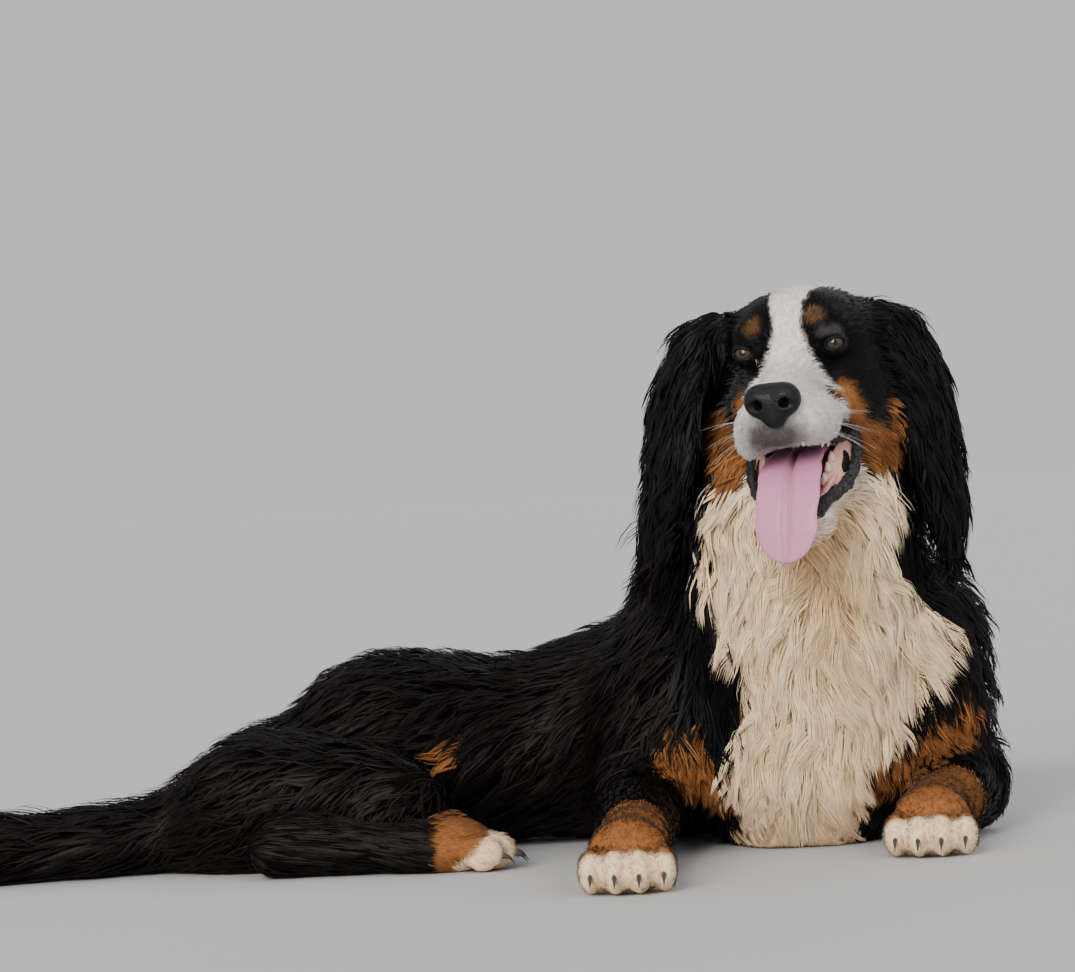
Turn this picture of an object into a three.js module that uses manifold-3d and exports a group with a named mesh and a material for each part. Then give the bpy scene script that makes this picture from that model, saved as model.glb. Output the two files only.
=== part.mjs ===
// Bernese mountain dog, lying on its chest with its head up and its tongue out.
// Lengths are millimetres. +X is the dog's left, -Y is ahead of its chest, +Z is up.
// The forms are planned from a point on the floor below the front of the chest.
// The finished model's origin is on the floor under the middle of the brisket.
// Each form of the body is a rounded mass; masses melt into one skin, which thin cuts part into nodes.

import * as THREE from 'three';
import { mergeVertices } from 'three/addons/utils/BufferGeometryUtils.js';
import Module from 'manifold-3d';

const wasm = await Module();
wasm.setup();

// Driving dimensions
const GAP = 0.3;
const FAR = 3000;
const NOTCH = 0.5;
const NOTCH_ROUNDS = 4;
const BODY_CELL = 42;
const HEAD_CELL = 17.5;
const LEG_CELL = 19.5;
const TAIL_CELL = 27;
const NOSE_CELL = 8;
const BODY_BLEND = 45;
const HEAD_BLEND = 20;
const LEG_BLEND = 14;
const NECK_BLEND = 26;

// Planes that part the nodes: a point on each, and the way that it faces
const NAPE_CUT = { point: [5, 40, 400], normal: [0, -0.5, 0.87] };
const THROAT_CUT = { point: [-10, 60, 316], normal: [0, -0.4, 0.92] };
const SHOULDER_CUT = { point: [-105, 215, 100], normal: [-0.78, 0.62, 0] };
const HIP_CUT = { point: [-395, 225, 100], normal: [-1, -0.22, 0] };
const TAIL_ROOT_CUT = { point: [-632, 128, 40], normal: [-1, -0.2, 0] };
const TAIL_MIDDLE_CUT = { point: [-800, 86, 30], normal: [-1, -0.2, 0] };

const BRISKET_AT = [-5, 112, 0];
const SKULL_AT = new THREE.Vector3(10, 15, 471);
const HEAD_YAW = 16;
const HEAD_ROLL = 3;
const EYE_RADIUS = 12;
const EYE_AT = new THREE.Vector3(41, -64, 4);
const NOSE_AT = new THREE.Vector3(0, -160, -47);
const TONGUE_WIDTH = 60;
const PAW_WIDTH = 92;
const HIND_PAW_WIDTH = 80;

// The coat: its depth on the chest, trunk and tail, and the share of it between the core and the lock tips
const CHEST_COAT = 30;
const TRUNK_COAT = 22;
const TAIL_COAT = 20;
const CORE_SHARE = 0.5;
const LOCK_STEP = 9;
const LOCK_SECTIONS = 5;
const ROOT_DEPTH = 9;
const SHORTEST_SHARE = 0.34;
const ROOT_CELL = 15;
const CLEAR = 14;
const SEED = 20;

const BLACK = '#15151a';
const WHITE = '#e9e2d6';
const TAN = '#9c5a2a';
const PINK = '#c98fa0';
const NOSE_GREY = '#26262b';
const IRIS_BROWN = '#4a2c17';

// Rounded masses: a turned ellipsoid, and a limb that tapers between two points

function ball(x, y, z, rx, ry, rz, turn = 0) {
  const angle = THREE.MathUtils.degToRad(turn);
  const cos = Math.cos(angle);
  const sin = Math.sin(angle);
  return (px, py, pz) => {
    const dx = px - x;
    const dy = py - y;
    const ax = dx * cos + dy * sin;
    const ay = dy * cos - dx * sin;
    const az = pz - z;
    const k0 = Math.hypot(ax / rx, ay / ry, az / rz);
    const k1 = Math.hypot(ax / rx ** 2, ay / ry ** 2, az / rz ** 2);
    return k1 > 0 ? (k0 * (k0 - 1)) / k1 : -Math.min(rx, ry, rz);
  };
}

function limb(start, end, startRadius, endRadius, flat = 1) {
  const bx = end[0] - start[0];
  const by = end[1] - start[1];
  const bz = (end[2] - start[2]) / flat;
  const square = bx * bx + by * by + bz * bz;
  return (px, py, pz) => {
    const dx = px - start[0];
    const dy = py - start[1];
    const dz = (pz - start[2]) / flat;
    const along = THREE.MathUtils.clamp((dx * bx + dy * by + dz * bz) / square, 0, 1);
    const radius = startRadius + (endRadius - startRadius) * along;
    return Math.hypot(dx - bx * along, dy - by * along, dz - bz * along) - radius;
  };
}

function melt(masses, blend) {
  return (x, y, z) => {
    let nearest = masses[0](x, y, z);
    for (let i = 1; i < masses.length; i++) {
      const next = masses[i](x, y, z);
      const share = THREE.MathUtils.clamp(0.5 + (0.5 * (next - nearest)) / blend, 0, 1);
      nearest = next + (nearest - next) * share - blend * share * (1 - share);
    }
    return nearest;
  };
}

function outward(distance, x, y, z) {
  const slope = new THREE.Vector3(
    distance(x + 1, y, z) - distance(x - 1, y, z),
    distance(x, y + 1, z) - distance(x, y - 1, z),
    distance(x, y, z + 1) - distance(x, y, z - 1),
  );
  return slope.normalize();
}

// The skin of a field of masses, one vertex in each cell that it crosses, moved out by grow

function skin(distance, low, high, cell, grow = 0) {
  const count = [0, 1, 2].map((axis) => Math.ceil((high[axis] - low[axis]) / cell) + 1);
  const [nx, ny, nz] = count;
  const values = new Float64Array(nx * ny * nz);
  const at = (i, j, k) => (k * ny + j) * nx + i;
  for (let k = 0; k < nz; k++) {
    for (let j = 0; j < ny; j++) {
      for (let i = 0; i < nx; i++) {
        const value = distance(low[0] + i * cell, low[1] + j * cell, low[2] + k * cell);
        values[at(i, j, k)] = value === 0 ? 1e-6 : value;
      }
    }
  }
  const positions = [];
  const cellVertex = new Int32Array(nx * ny * nz).fill(-1);
  const corners = [0, 1, 2, 3, 4, 5, 6, 7].map((n) => [n & 1, (n >> 1) & 1, (n >> 2) & 1]);
  const edges = [];
  corners.forEach((a, m) => {
    corners.forEach((b, n) => {
      const steps = Math.abs(a[0] - b[0]) + Math.abs(a[1] - b[1]) + Math.abs(a[2] - b[2]);
      if (m < n && steps === 1) edges.push([a, b]);
    });
  });
  for (let k = 0; k < nz - 1; k++) {
    for (let j = 0; j < ny - 1; j++) {
      for (let i = 0; i < nx - 1; i++) {
        const sum = [0, 0, 0];
        let crossings = 0;
        for (const [a, b] of edges) {
          const va = values[at(i + a[0], j + a[1], k + a[2])];
          const vb = values[at(i + b[0], j + b[1], k + b[2])];
          if (va < 0 === vb < 0) continue;
          const t = va / (va - vb);
          for (let axis = 0; axis < 3; axis++) sum[axis] += a[axis] + (b[axis] - a[axis]) * t;
          crossings += 1;
        }
        if (crossings === 0) continue;
        cellVertex[at(i, j, k)] = positions.length / 3;
        const [x, y, z] = [i, j, k].map((n, axis) => low[axis] + (n + sum[axis] / crossings) * cell);
        const out = outward(distance, x, y, z);
        positions.push(x + out.x * grow, y + out.y * grow, z + out.z * grow);
      }
    }
  }
  const index = [];
  const step = [[1, 0, 0], [0, 1, 0], [0, 0, 1]];
  for (let k = 1; k < nz - 1; k++) {
    for (let j = 1; j < ny - 1; j++) {
      for (let i = 1; i < nx - 1; i++) {
        const here = values[at(i, j, k)];
        for (let axis = 0; axis < 3; axis++) {
          const [sx, sy, sz] = step[axis];
          const there = values[at(i + sx, j + sy, k + sz)];
          if (here < 0 === there < 0) continue;
          const u = step[(axis + 1) % 3];
          const v = step[(axis + 2) % 3];
          const quad = [
            cellVertex[at(i, j, k)],
            cellVertex[at(i - u[0], j - u[1], k - u[2])],
            cellVertex[at(i - u[0] - v[0], j - u[1] - v[1], k - u[2] - v[2])],
            cellVertex[at(i - v[0], j - v[1], k - v[2])],
          ];
          if (here > 0) quad.reverse();
          const [a, b, c, d] = quad;
          if ((i + j + k) % 2 === 0) index.push(a, b, c, a, c, d);
          else index.push(a, b, d, b, c, d);
        }
      }
    }
  }
  const geometry = new THREE.BufferGeometry();
  geometry.setAttribute('position', new THREE.Float32BufferAttribute(positions, 3));
  geometry.setIndex(index);
  return geometry;
}

// Solids, cuts and nodes

function solid(geometry, matrix = new THREE.Matrix4()) {
  const bare = geometry.clone();
  bare.deleteAttribute('normal');
  bare.deleteAttribute('uv');
  const merged = mergeVertices(bare, 1e-3).applyMatrix4(matrix);
  const vertProperties = new Float32Array(merged.attributes.position.array);
  const triVerts = new Uint32Array(merged.index.array);
  return new wasm.Manifold(new wasm.Mesh({ numProp: 3, vertProperties, triVerts }));
}

function join(solids) {
  return solids.reduce((whole, piece) => whole.add(piece));
}

function without(whole, pieces) {
  return pieces.reduce((rest, piece) => rest.subtract(piece), whole);
}

function largest(whole) {
  const pieces = whole.decompose();
  return pieces.reduce((best, piece) => (piece.volume() > best.volume() ? piece : best));
}

// Cuts can leave a solid touching itself along an edge, which then has four faces. These are such edges.
function pinches(whole) {
  const { vertProperties, triVerts } = whole.getMesh();
  const corner = (v) => Array.from(vertProperties.slice(3 * v, 3 * v + 3), (value) => value.toFixed(4));
  const uses = new Map();
  for (let n = 0; n < triVerts.length; n += 3) {
    const keys = [0, 1, 2].map((m) => corner(triVerts[n + m]).join(' '));
    if (new Set(keys).size < 3) continue;
    keys.forEach((key, m) => {
      const edge = [key, keys[(m + 1) % 3]].sort().join(' ');
      uses.set(edge, (uses.get(edge) ?? 0) + 1);
    });
  }
  return [...uses].filter(([, count]) => count > 2).map(([edge]) => edge.split(' ').map(Number));
}

// The largest closed surface, with a small notch at each pinched edge
function settle(whole) {
  let rest = largest(whole);
  for (let round = 0; round < NOTCH_ROUNDS; round++) {
    const found = pinches(rest);
    if (found.length === 0) break;
    const notches = found.map(([ax, ay, az, bx, by, bz]) => {
      const reach = Math.hypot(bx - ax, by - ay, bz - az) / 2 + NOTCH * (round + 1);
      return ellipsoid([(ax + bx) / 2, (ay + by) / 2, (az + bz) / 2], [reach, reach, reach], 17, 5);
    });
    rest = largest(without(rest, notches));
  }
  return rest;
}

// Seeded draws, so that the coat is the same each time
let drawState = SEED;
function draw(low = 0, high = 1) {
  drawState = (drawState * 1664525 + 1013904223) % 2 ** 32;
  return low + ((high - low) * drawState) / 2 ** 32;
}

// The half of space that a normal points into, from a plane moved along it by a shift
function beyond({ point, normal }, shift) {
  const away = new THREE.Vector3(...normal).normalize();
  const turn = new THREE.Quaternion().setFromUnitVectors(new THREE.Vector3(0, 0, 1), away);
  const centre = new THREE.Vector3(...point).addScaledVector(away, shift + FAR / 2);
  const matrix = new THREE.Matrix4().compose(centre, turn, new THREE.Vector3(1, 1, 1));
  return solid(new THREE.BoxGeometry(FAR, FAR, FAR), matrix);
}

function turned({ point, normal }) {
  return { point, normal: normal.map((value) => -value) };
}

function part(whole, cut) {
  return [whole.intersect(beyond(cut, GAP / 2)), whole.intersect(beyond(turned(cut), GAP / 2))];
}

// How far a point lies past a plane
function past({ point, normal }, x, y, z) {
  const along = (x - point[0]) * normal[0] + (y - point[1]) * normal[1] + (z - point[2]) * normal[2];
  return along / Math.hypot(...normal);
}

function ellipsoid(at, radii, turn = 0, detail = 20) {
  const spin = new THREE.Quaternion().setFromEuler(new THREE.Euler(0, 0, THREE.MathUtils.degToRad(turn)));
  const matrix = new THREE.Matrix4().compose(new THREE.Vector3(...at), spin, new THREE.Vector3(...radii));
  return solid(new THREE.SphereGeometry(1, detail, Math.round(detail * 0.6)), matrix);
}

const group = new THREE.Group();
group.position.set(...BRISKET_AT.map((value) => -value));

function node(name, whole, color, roughness) {
  const mesh = settle(whole).getMesh();
  const geometry = new THREE.BufferGeometry();
  geometry.setAttribute('position', new THREE.BufferAttribute(new Float32Array(mesh.vertProperties), 3));
  geometry.setIndex(new THREE.BufferAttribute(new Uint32Array(mesh.triVerts), 1));
  const material = new THREE.MeshStandardMaterial({ color, roughness, metalness: 0 });
  const piece = new THREE.Mesh(geometry, material);
  piece.name = name;
  group.add(piece);
}

// A body of flat oval sections along a line: each has a place, a side, a facing and half sizes
function loft(sections, sides, shape = () => 0) {
  const positions = [];
  const index = [];
  sections.forEach(({ at, side, facing, wide, thick }) => {
    for (let n = 0; n < sides; n++) {
      const angle = (2 * Math.PI * n) / sides;
      const point = at.clone()
        .addScaledVector(side, wide * Math.cos(angle))
        .addScaledVector(facing, thick * Math.sin(angle) + shape(angle) * thick);
      positions.push(point.x, point.y, point.z);
    }
  });
  const last = sections.length - 1;
  for (let m = 0; m < last; m++) {
    for (let n = 0; n < sides; n++) {
      const a = m * sides + n;
      const b = m * sides + ((n + 1) % sides);
      index.push(a, b, b + sides, a, b + sides, a + sides);
    }
  }
  const end = last * sides;
  for (let n = 1; n < sides - 1; n++) {
    index.push(0, n + 1, n, end, end + n, end + n + 1);
  }
  const geometry = new THREE.BufferGeometry();
  geometry.setAttribute('position', new THREE.Float32BufferAttribute(positions, 3));
  geometry.setIndex(index);
  return geometry;
}

// Even sections along a smooth curve; the size functions run from 0 at its start to 1 at its end
function sectionsAlong(points, facing, wide, thick, steps) {
  const curve = new THREE.CatmullRomCurve3(points.map((point) => new THREE.Vector3(...point)));
  return Array.from({ length: steps + 1 }, (_, n) => {
    const along = n / steps;
    const tangent = curve.getTangentAt(along);
    const side = new THREE.Vector3().crossVectors(facing, tangent).normalize();
    return {
      at: curve.getPointAt(along),
      side,
      facing: new THREE.Vector3().crossVectors(tangent, side).normalize(),
      wide: wide(along),
      thick: thick(along),
    };
  });
}

// A line on the surface of a field, along the lie with a sideways wave, for as long as it may run
function flowLine({ field, root, lie, keep, length, wave }) {
  const point = root.clone();
  const phase = draw(0, 2 * Math.PI);
  const line = [];
  for (let n = 0; n * LOCK_STEP <= length; n++) {
    for (let pass = 0; pass < 3; pass++) {
      const out = outward(field, point.x, point.y, point.z);
      point.addScaledVector(out, -field(point.x, point.y, point.z));
    }
    if (!keep(point)) break;
    const out = outward(field, point.x, point.y, point.z);
    line.push({ at: point.clone(), out });
    const flow = lie(point).projectOnPlane(out).normalize();
    const side = new THREE.Vector3().crossVectors(out, flow);
    flow.addScaledVector(side, wave * Math.sin(phase + (5 * n * LOCK_STEP) / length)).normalize();
    point.addScaledVector(flow, LOCK_STEP);
  }
  return line;
}

// A lock is a flat, tapered, bent blade: its root is sunk in the core, and it rises to the coat's surface
function lock(spec) {
  const line = flowLine(spec);
  const share = ((line.length - 1) * LOCK_STEP) / spec.length;
  if (share < SHORTEST_SHARE) return [];
  const { depth, thick, flick } = spec;
  const width = spec.width * Math.min(1, 0.5 + 0.6 * share);
  const sections = Array.from({ length: LOCK_SECTIONS }, (_, n) => {
    const along = n / (LOCK_SECTIONS - 1);
    const place = Math.round(along * (line.length - 1));
    const { at, out } = line[place];
    const tangent = line[Math.min(place + 1, line.length - 1)].at.clone();
    tangent.sub(line[Math.max(place - 1, 0)].at).normalize();
    const sunk = (CORE_SHARE * depth + ROOT_DEPTH) * Math.max(0, 1 - along / 0.4) ** 1.2;
    return {
      at: at.clone().addScaledVector(out, flick * along ** 3 - thick - sunk),
      side: new THREE.Vector3().crossVectors(out, tangent).normalize(),
      facing: out,
      wide: Math.max(1, (width / 2) * (0.72 + 0.9 * along) * (1 - along ** 2.2)),
      thick: thick * (1 - 0.7 * along),
    };
  });
  return [solid(loft(sections, 4))];
}

// Roots spread evenly over a skin: its corners in a shuffled order, each at least a spacing from the rest
function spreadRoots(geometry, spacing, wanted) {
  const { array, count } = geometry.attributes.position;
  const order = Array.from({ length: count }, (_, n) => n);
  for (let n = count - 1; n > 0; n--) {
    const other = Math.floor(draw(0, n + 1));
    [order[n], order[other]] = [order[other], order[n]];
  }
  const roots = [];
  order.forEach((n) => {
    const point = new THREE.Vector3(array[3 * n], array[3 * n + 1], array[3 * n + 2]);
    const reach = spacing(point);
    if (!wanted(point) || roots.some((other) => other.distanceTo(point) < reach)) return;
    roots.push(point);
  });
  return roots;
}

// The head, in its own frame about the middle of the skull, then placed

const headTurn = new THREE.Quaternion().setFromEuler(new THREE.Euler(
  0,
  THREE.MathUtils.degToRad(-HEAD_ROLL),
  THREE.MathUtils.degToRad(-HEAD_YAW),
  'ZYX',
));
const headPlace = new THREE.Matrix4().compose(SKULL_AT, headTurn, new THREE.Vector3(1, 1, 1));

const SKULL = [
  ball(0, 22, 2, 78, 84, 66),
  ball(0, -26, 14, 58, 52, 48),
  ball(30, -54, 20, 24, 20, 16),
  ball(-30, -54, 20, 24, 20, 16),
  ball(46, -12, -42, 34, 52, 42),
  ball(-46, -12, -42, 34, 52, 42),
  ball(58, 10, -62, 34, 46, 50),
  ball(-58, 10, -62, 34, 46, 50),
  limb([0, -60, -26], [0, -140, -46], 27, 21),
  ball(25, -100, -64, 25, 48, 27),
  ball(-25, -100, -64, 25, 48, 27),
  ball(0, -136, -64, 34, 24, 25),
];
const JAW = [
  limb([0, 4, -94], [0, -94, -158], 46, 31, 0.72),
  ball(0, -98, -160, 30, 20, 17),
  ball(37, -46, -112, 13, 30, 25),
  ball(-37, -46, -112, 13, 30, 25),
];
const headField = melt(SKULL, HEAD_BLEND);
const jawField = melt(JAW, HEAD_BLEND);

function jawCore(grow) {
  return solid(skin(jawField, [-70, -150, -205], [70, 60, -40], HEAD_CELL, grow), headPlace);
}

const PALATE = [[0, -80, -101], [40, 62, 22]];
const MOUTH_FLOOR = [[0, -71, -117], [33, 56, 21]];

function inHead([at, radii], detail) {
  return ellipsoid(at, radii, 0, detail).transform(headPlace.elements);
}

// The tongue lies in the jaw, then hangs over its front
const TONGUE_LINE = [
  [0, -25, -92], [0, -78, -94], [0, -113, -104], [0, -133, -124], [-3, -142, -156], [-6, -145, -194],
];

function tongue(grow) {
  const wide = (t) => (TONGUE_WIDTH / 2) * Math.sqrt(Math.max(0.03, 1 - (Math.max(0, t - 0.8) / 0.2) ** 2))
    * (0.72 + 0.28 * Math.min(1, t / 0.55)) + grow;
  const thick = (t) => 8.5 - 4 * t + grow;
  const groove = (angle) => (Math.abs(angle - Math.PI / 2) < 0.1 ? -0.45 : 0);
  const sections = sectionsAlong(TONGUE_LINE, new THREE.Vector3(0, -0.5, 1), wide, thick, 12);
  return solid(loft(sections, 12, grow > 0 ? undefined : groove), headPlace);
}

// Eyes, lids, lips and teeth
function eye(sideSign, grow) {
  const at = new THREE.Vector3(sideSign * EYE_AT.x, EYE_AT.y, EYE_AT.z).applyMatrix4(headPlace);
  return ellipsoid(at.toArray(), Array(3).fill(EYE_RADIUS + grow), 0, 12);
}

function lids(sideSign) {
  const ring = new THREE.TorusGeometry(11.5, 3.4, 4, 12);
  ring.scale(1.05, 0.78, 1);
  ring.rotateX(Math.PI / 2);
  ring.rotateZ(THREE.MathUtils.degToRad(sideSign * 26));
  const out = new THREE.Vector3(sideSign * 2.5, -7, 0);
  ring.translate(sideSign * EYE_AT.x + out.x, EYE_AT.y + out.y, EYE_AT.z);
  return solid(ring, headPlace);
}

function roll(points, radius, steps) {
  const sections = sectionsAlong(points, new THREE.Vector3(0, 0, 1), () => radius, () => radius, steps);
  return solid(loft(sections, 5), headPlace);
}

function tooth(x, y, z, radius, height, down) {
  const cone = new THREE.ConeGeometry(radius, height, 5);
  cone.rotateX(down ? -Math.PI / 2 : Math.PI / 2);
  cone.translate(x, y, z);
  return solid(cone, headPlace);
}

const upperLips = (grow) => [-1, 1].map((s) => roll(
  [[s * 49, -50, -80], [s * 47, -90, -87], [s * 35, -130, -87], [s * 10, -154, -82]], 4 + grow, 6));
const lowerLips = [-1, 1].map((s) => roll(
  [[s * 48, -40, -86], [s * 45, -58, -113], [s * 37, -77, -132], [s * 30, -97, -146], [s * 13, -114, -155]], 4.5, 7));
const upperTeeth = (grow) => [-1, 1].flatMap((s) => [
  tooth(s * 24, -136, -88, 5 + grow, 20 + 4 * grow, true),
  ...[0, 1].map((n) => tooth(s * (34 + n), -110 + 22 * n, -88, 5 + grow, 12 + 4 * grow, true)),
]);
const lowerTeeth = [-1, 1].flatMap((s) => [
  tooth(s * 17, -108, -140, 4.5, 20, false),
  ...[0, 1, 2].map((n) => tooth(s * (27 + 2.5 * n), -88 + 18 * n, -132 + 12 * n, 4.5, 13, false)),
]);

// The ears hang from the sides of the skull, each a flat leaf with long coat at its edge
const EARS = {
  right: [
    [-48, 48, 496], [-78, 42, 502], [-99, 34, 472], [-114, 26, 422], [-122, 22, 370], [-132, 26, 318], [-144, 38, 278],
  ],
  left: [
    [64, 46, 498], [92, 40, 505], [112, 34, 478], [125, 26, 427], [132, 22, 372], [139, 26, 322], [145, 36, 284],
  ],
};

const EAR_FACINGS = { right: [-0.86, -0.5, 0.1], left: [0.79, -0.6, 0.1] };
const earFacing = (name) => new THREE.Vector3(...EAR_FACINGS[name]).normalize();

function ear(name) {
  const wide = (t) => 10 + 37 * Math.sin(Math.PI * Math.min(1, 0.12 + t * 0.86)) ** 0.7;
  const thick = (t) => 15 - 8 * t;
  return solid(loft(sectionsAlong(EARS[name], earFacing(name), wide, thick, 9), 8));
}

// Trunk, neck and thighs melt into one skin

const TRUNK = [
  ball(-8, 112, 205, 145, 120, 150),
  ball(-5, 112, 92, 120, 125, 112),
  ball(-108, 135, 150, 82, 105, 118),
  ball(104, 135, 150, 76, 100, 116),
  ball(112, 105, 205, 66, 80, 66),
  ball(-40, 185, 235, 112, 118, 95),
  ball(-150, 235, 110, 145, 142, 115),
  ball(-300, 250, 97, 128, 130, 94),
  ball(-405, 220, 104, 115, 128, 100),
  ball(-505, 175, 60, 90, 108, 64),
  ball(-586, 145, 36, 48, 72, 40),
  limb([-570, 148, 44], [-655, 122, 40], 46, 38),
  limb([5, 75, 440], [-22, 140, 290], 88, 118),
  ball(-4, 62, 320, 130, 92, 92),
  ball(-8, 30, 235, 98, 58, 118),
  ball(62, 62, 366, 44, 54, 66),
];
const UPPER_LIMBS = [
  limb([-125, 112, 150], [-168, 42, 62], 58, 46),
  limb([118, 122, 150], [152, 128, 58], 58, 46),
  limb([-540, 100, 62], [-396, 44, 58], 70, 56),
  limb([-540, 240, 62], [-396, 322, 58], 70, 56),
];
const bodyField = melt([...TRUNK, ...UPPER_LIMBS], BODY_BLEND);
const headUnplace = headPlace.clone().invert();
const spot = new THREE.Vector3();
const headInPlace = (x, y, z) => {
  spot.set(x, y, z).applyMatrix4(headUnplace);
  return headField(spot.x, spot.y, spot.z);
};
const dogField = melt([bodyField, headInPlace], NECK_BLEND);
const floor = beyond({ point: [0, 0, 0], normal: [0, 0, 1] }, 0);

// The coat is deepest on the chest and fades out towards the head and the floor
function coatDepth(x, y, z) {
  const front = 1 - THREE.MathUtils.smoothstep(y, 60, 190);
  const depth = TRUNK_COAT + (CHEST_COAT - TRUNK_COAT) * front;
  const awayFromHead = THREE.MathUtils.smoothstep(-past(NAPE_CUT, x, y, z), 0, 50);
  return depth * awayFromHead * THREE.MathUtils.smoothstep(z, 4, 60);
}

const coreField = (x, y, z) => dogField(x, y, z) + CORE_SHARE * coatDepth(x, y, z);

// The head is parted from the neck by one plane; each side has its own cell size
function headCore(grow) {
  const field = (x, y, z) => Math.max(coreField(x, y, z), -past(NAPE_CUT, x, y, z) - 2 * HEAD_CELL);
  const whole = solid(skin(field, [-150, -190, 250], [170, 210, 580], HEAD_CELL, grow));
  return whole.intersect(beyond(NAPE_CUT, GAP / 2 - grow));
}

function bodySkin(cell, grow) {
  const field = (x, y, z) => Math.max(coreField(x, y, z), past(NAPE_CUT, x, y, z) - 1.5 * BODY_CELL);
  return skin(field, [-762, -200, -102], [270, 470, 600], cell, grow);
}

function body(grow) {
  return solid(bodySkin(BODY_CELL, grow)).intersect(floor).intersect(beyond(turned(NAPE_CUT), GAP / 2 - grow));
}

// Legs: a paw has a pad, four toes in a loop and a claw on each toe

function pawMasses(at, heading, width) {
  const angle = THREE.MathUtils.degToRad(heading);
  const ahead = [Math.cos(angle), Math.sin(angle)];
  const across = [-ahead[1], ahead[0]];
  const toe = width / 4.3;
  const masses = [ball(at[0], at[1], width * 0.3, width * 0.58, width * 0.42, width * 0.36, heading)];
  for (let n = 0; n < 4; n++) {
    const offset = (n - 1.5) * toe;
    const reach = width * (n === 0 || n === 3 ? 0.42 : 0.55);
    masses.push(ball(
      at[0] + ahead[0] * reach + across[0] * offset,
      at[1] + ahead[1] * reach + across[1] * offset,
      width * 0.22, width * 0.28, toe * 0.66, width * 0.24, heading,
    ));
  }
  return masses;
}

function claws(at, heading, width) {
  const angle = THREE.MathUtils.degToRad(heading);
  const ahead = [Math.cos(angle), Math.sin(angle)];
  const across = [-ahead[1], ahead[0]];
  const toe = width / 4.3;
  return [0, 1, 2, 3].map((n) => {
    const offset = (n - 1.5) * toe;
    const reach = width * (n === 0 || n === 3 ? 0.42 : 0.55) + width * 0.25;
    const claw = new THREE.ConeGeometry(4, 20, 6);
    claw.rotateZ(-Math.PI / 2);
    claw.rotateY(THREE.MathUtils.degToRad(22));
    claw.rotateZ(angle);
    claw.translate(
      at[0] + ahead[0] * reach + across[0] * offset,
      at[1] + ahead[1] * reach + across[1] * offset,
      width * 0.14,
    );
    return solid(claw);
  });
}

const LEGS = {
  right_fore: {
    bones: [limb([-170, 30, 46], [-180, -170, 34], 44, 31)],
    paw: [-187, -228], heading: 267, width: PAW_WIDTH,
    wrist: { point: [-179, -165, 34], normal: [0.05, 1, 0] },
    low: [-290, -340, -30], high: [-90, 130, 150],
  },
  left_fore: {
    bones: [limb([154, 118, 44], [112, -6, 34], 44, 31)],
    paw: [102, -56], heading: 261, width: PAW_WIDTH,
    wrist: { point: [113, -2, 44], normal: [0.3, 1, 0] },
    low: [20, -170, -30], high: [250, 230, 150],
  },
  right_hind: {
    bones: [limb([-400, 30, 42], [-515, 14, 32], 36, 27), limb([-515, 10, 28], [-392, -4, 26], 27, 25)],
    paw: [-352, -6], heading: 357, width: HIND_PAW_WIDTH,
    wrist: { point: [-388, -4, 24], normal: [-1, 0, 0] },
    low: [-600, -120, -30], high: [-240, 140, 130],
  },
  left_hind: {
    bones: [limb([-400, 336, 42], [-515, 352, 32], 36, 27), limb([-515, 356, 28], [-392, 370, 26], 27, 25)],
    paw: [-352, 372], heading: 3, width: HIND_PAW_WIDTH,
    wrist: { point: [-388, 370, 24], normal: [-1, 0, 0] },
    low: [-603, 233, -31], high: [-240, 480, 130],
  },
};

function leg(name) {
  const { bones, paw, heading, width, low, high } = LEGS[name];
  const field = melt([...bones, ...pawMasses(paw, heading, width)], LEG_BLEND);
  return solid(skin(field, low, high, LEG_CELL)).intersect(floor);
}

// The tail lies on the floor behind the rump
const TAIL = [
  limb([-600, 138, 40], [-700, 108, 36], 34, 43, 0.8),
  limb([-700, 108, 36], [-810, 84, 35], 43, 44, 0.8),
  limb([-810, 84, 35], [-905, 72, 30], 44, 36, 0.8),
  limb([-905, 72, 30], [-960, 68, 20], 36, 18, 0.8),
];
const tailField = melt(TAIL, LEG_BLEND);
const tailCoreField = (x, y, z) => {
  const depth = TAIL_COAT * THREE.MathUtils.smoothstep(-x, 640, 720) * THREE.MathUtils.smoothstep(z, 4, 30);
  return tailField(x, y, z) + CORE_SHARE * depth;
};
const tailSkin = (cell) => skin(tailCoreField, [-1010, -20, -40], [-540, 210, 110], cell);

// Nose pad with two nostrils
function nose(grow) {
  const [x, y, z] = NOSE_AT.toArray();
  const pad = melt([
    ball(x, y, z, 25, 15, 18),
    ball(x - 13, y - 4, z + 2, 14, 12, 15),
    ball(x + 13, y - 4, z + 2, 14, 12, 15),
  ], 6);
  const nostrils = [-1, 1].map((s) => limb([s * 17, y - 18, z - 3], [s * 9, y - 8, z], 5.5, 4.5));
  const field = (px, py, pz) => {
    const open = grow > 0 ? -FAR : -Math.min(nostrils[0](px, py, pz), nostrils[1](px, py, pz));
    return Math.max(pad(px, py, pz), open);
  };
  return solid(skin(field, [x - 40, y - 30, z - 30], [x + 40, y + 30, z + 30], NOSE_CELL, grow), headPlace);
}

// The trunk is parted by planes, and by an ellipsoid round each upper arm and thigh
const sides = ['right', 'left'];
const signs = { right: -1, left: 1 };
const ARMS = {
  right: [[-178, 70, 82], [72, 92, 106], 0],
  left: [[166, 118, 80], [68, 88, 104], 0],
};
const THIGHS = {
  right: [[-480, 62, 58], [142, 78, 78], -26],
  left: [[-480, 298, 58], [142, 78, 78], 28],
};
const cut = ([at, radii, turn], grow) => ellipsoid(at, radii.map((r) => r + grow), turn, 14);
const limbShapes = sides.flatMap((name) => [
  [`${name}_upper_arm`, ball(...ARMS[name].flat())],
  [`${name}_thigh`, ball(...THIGHS[name].flat())],
]);

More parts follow.
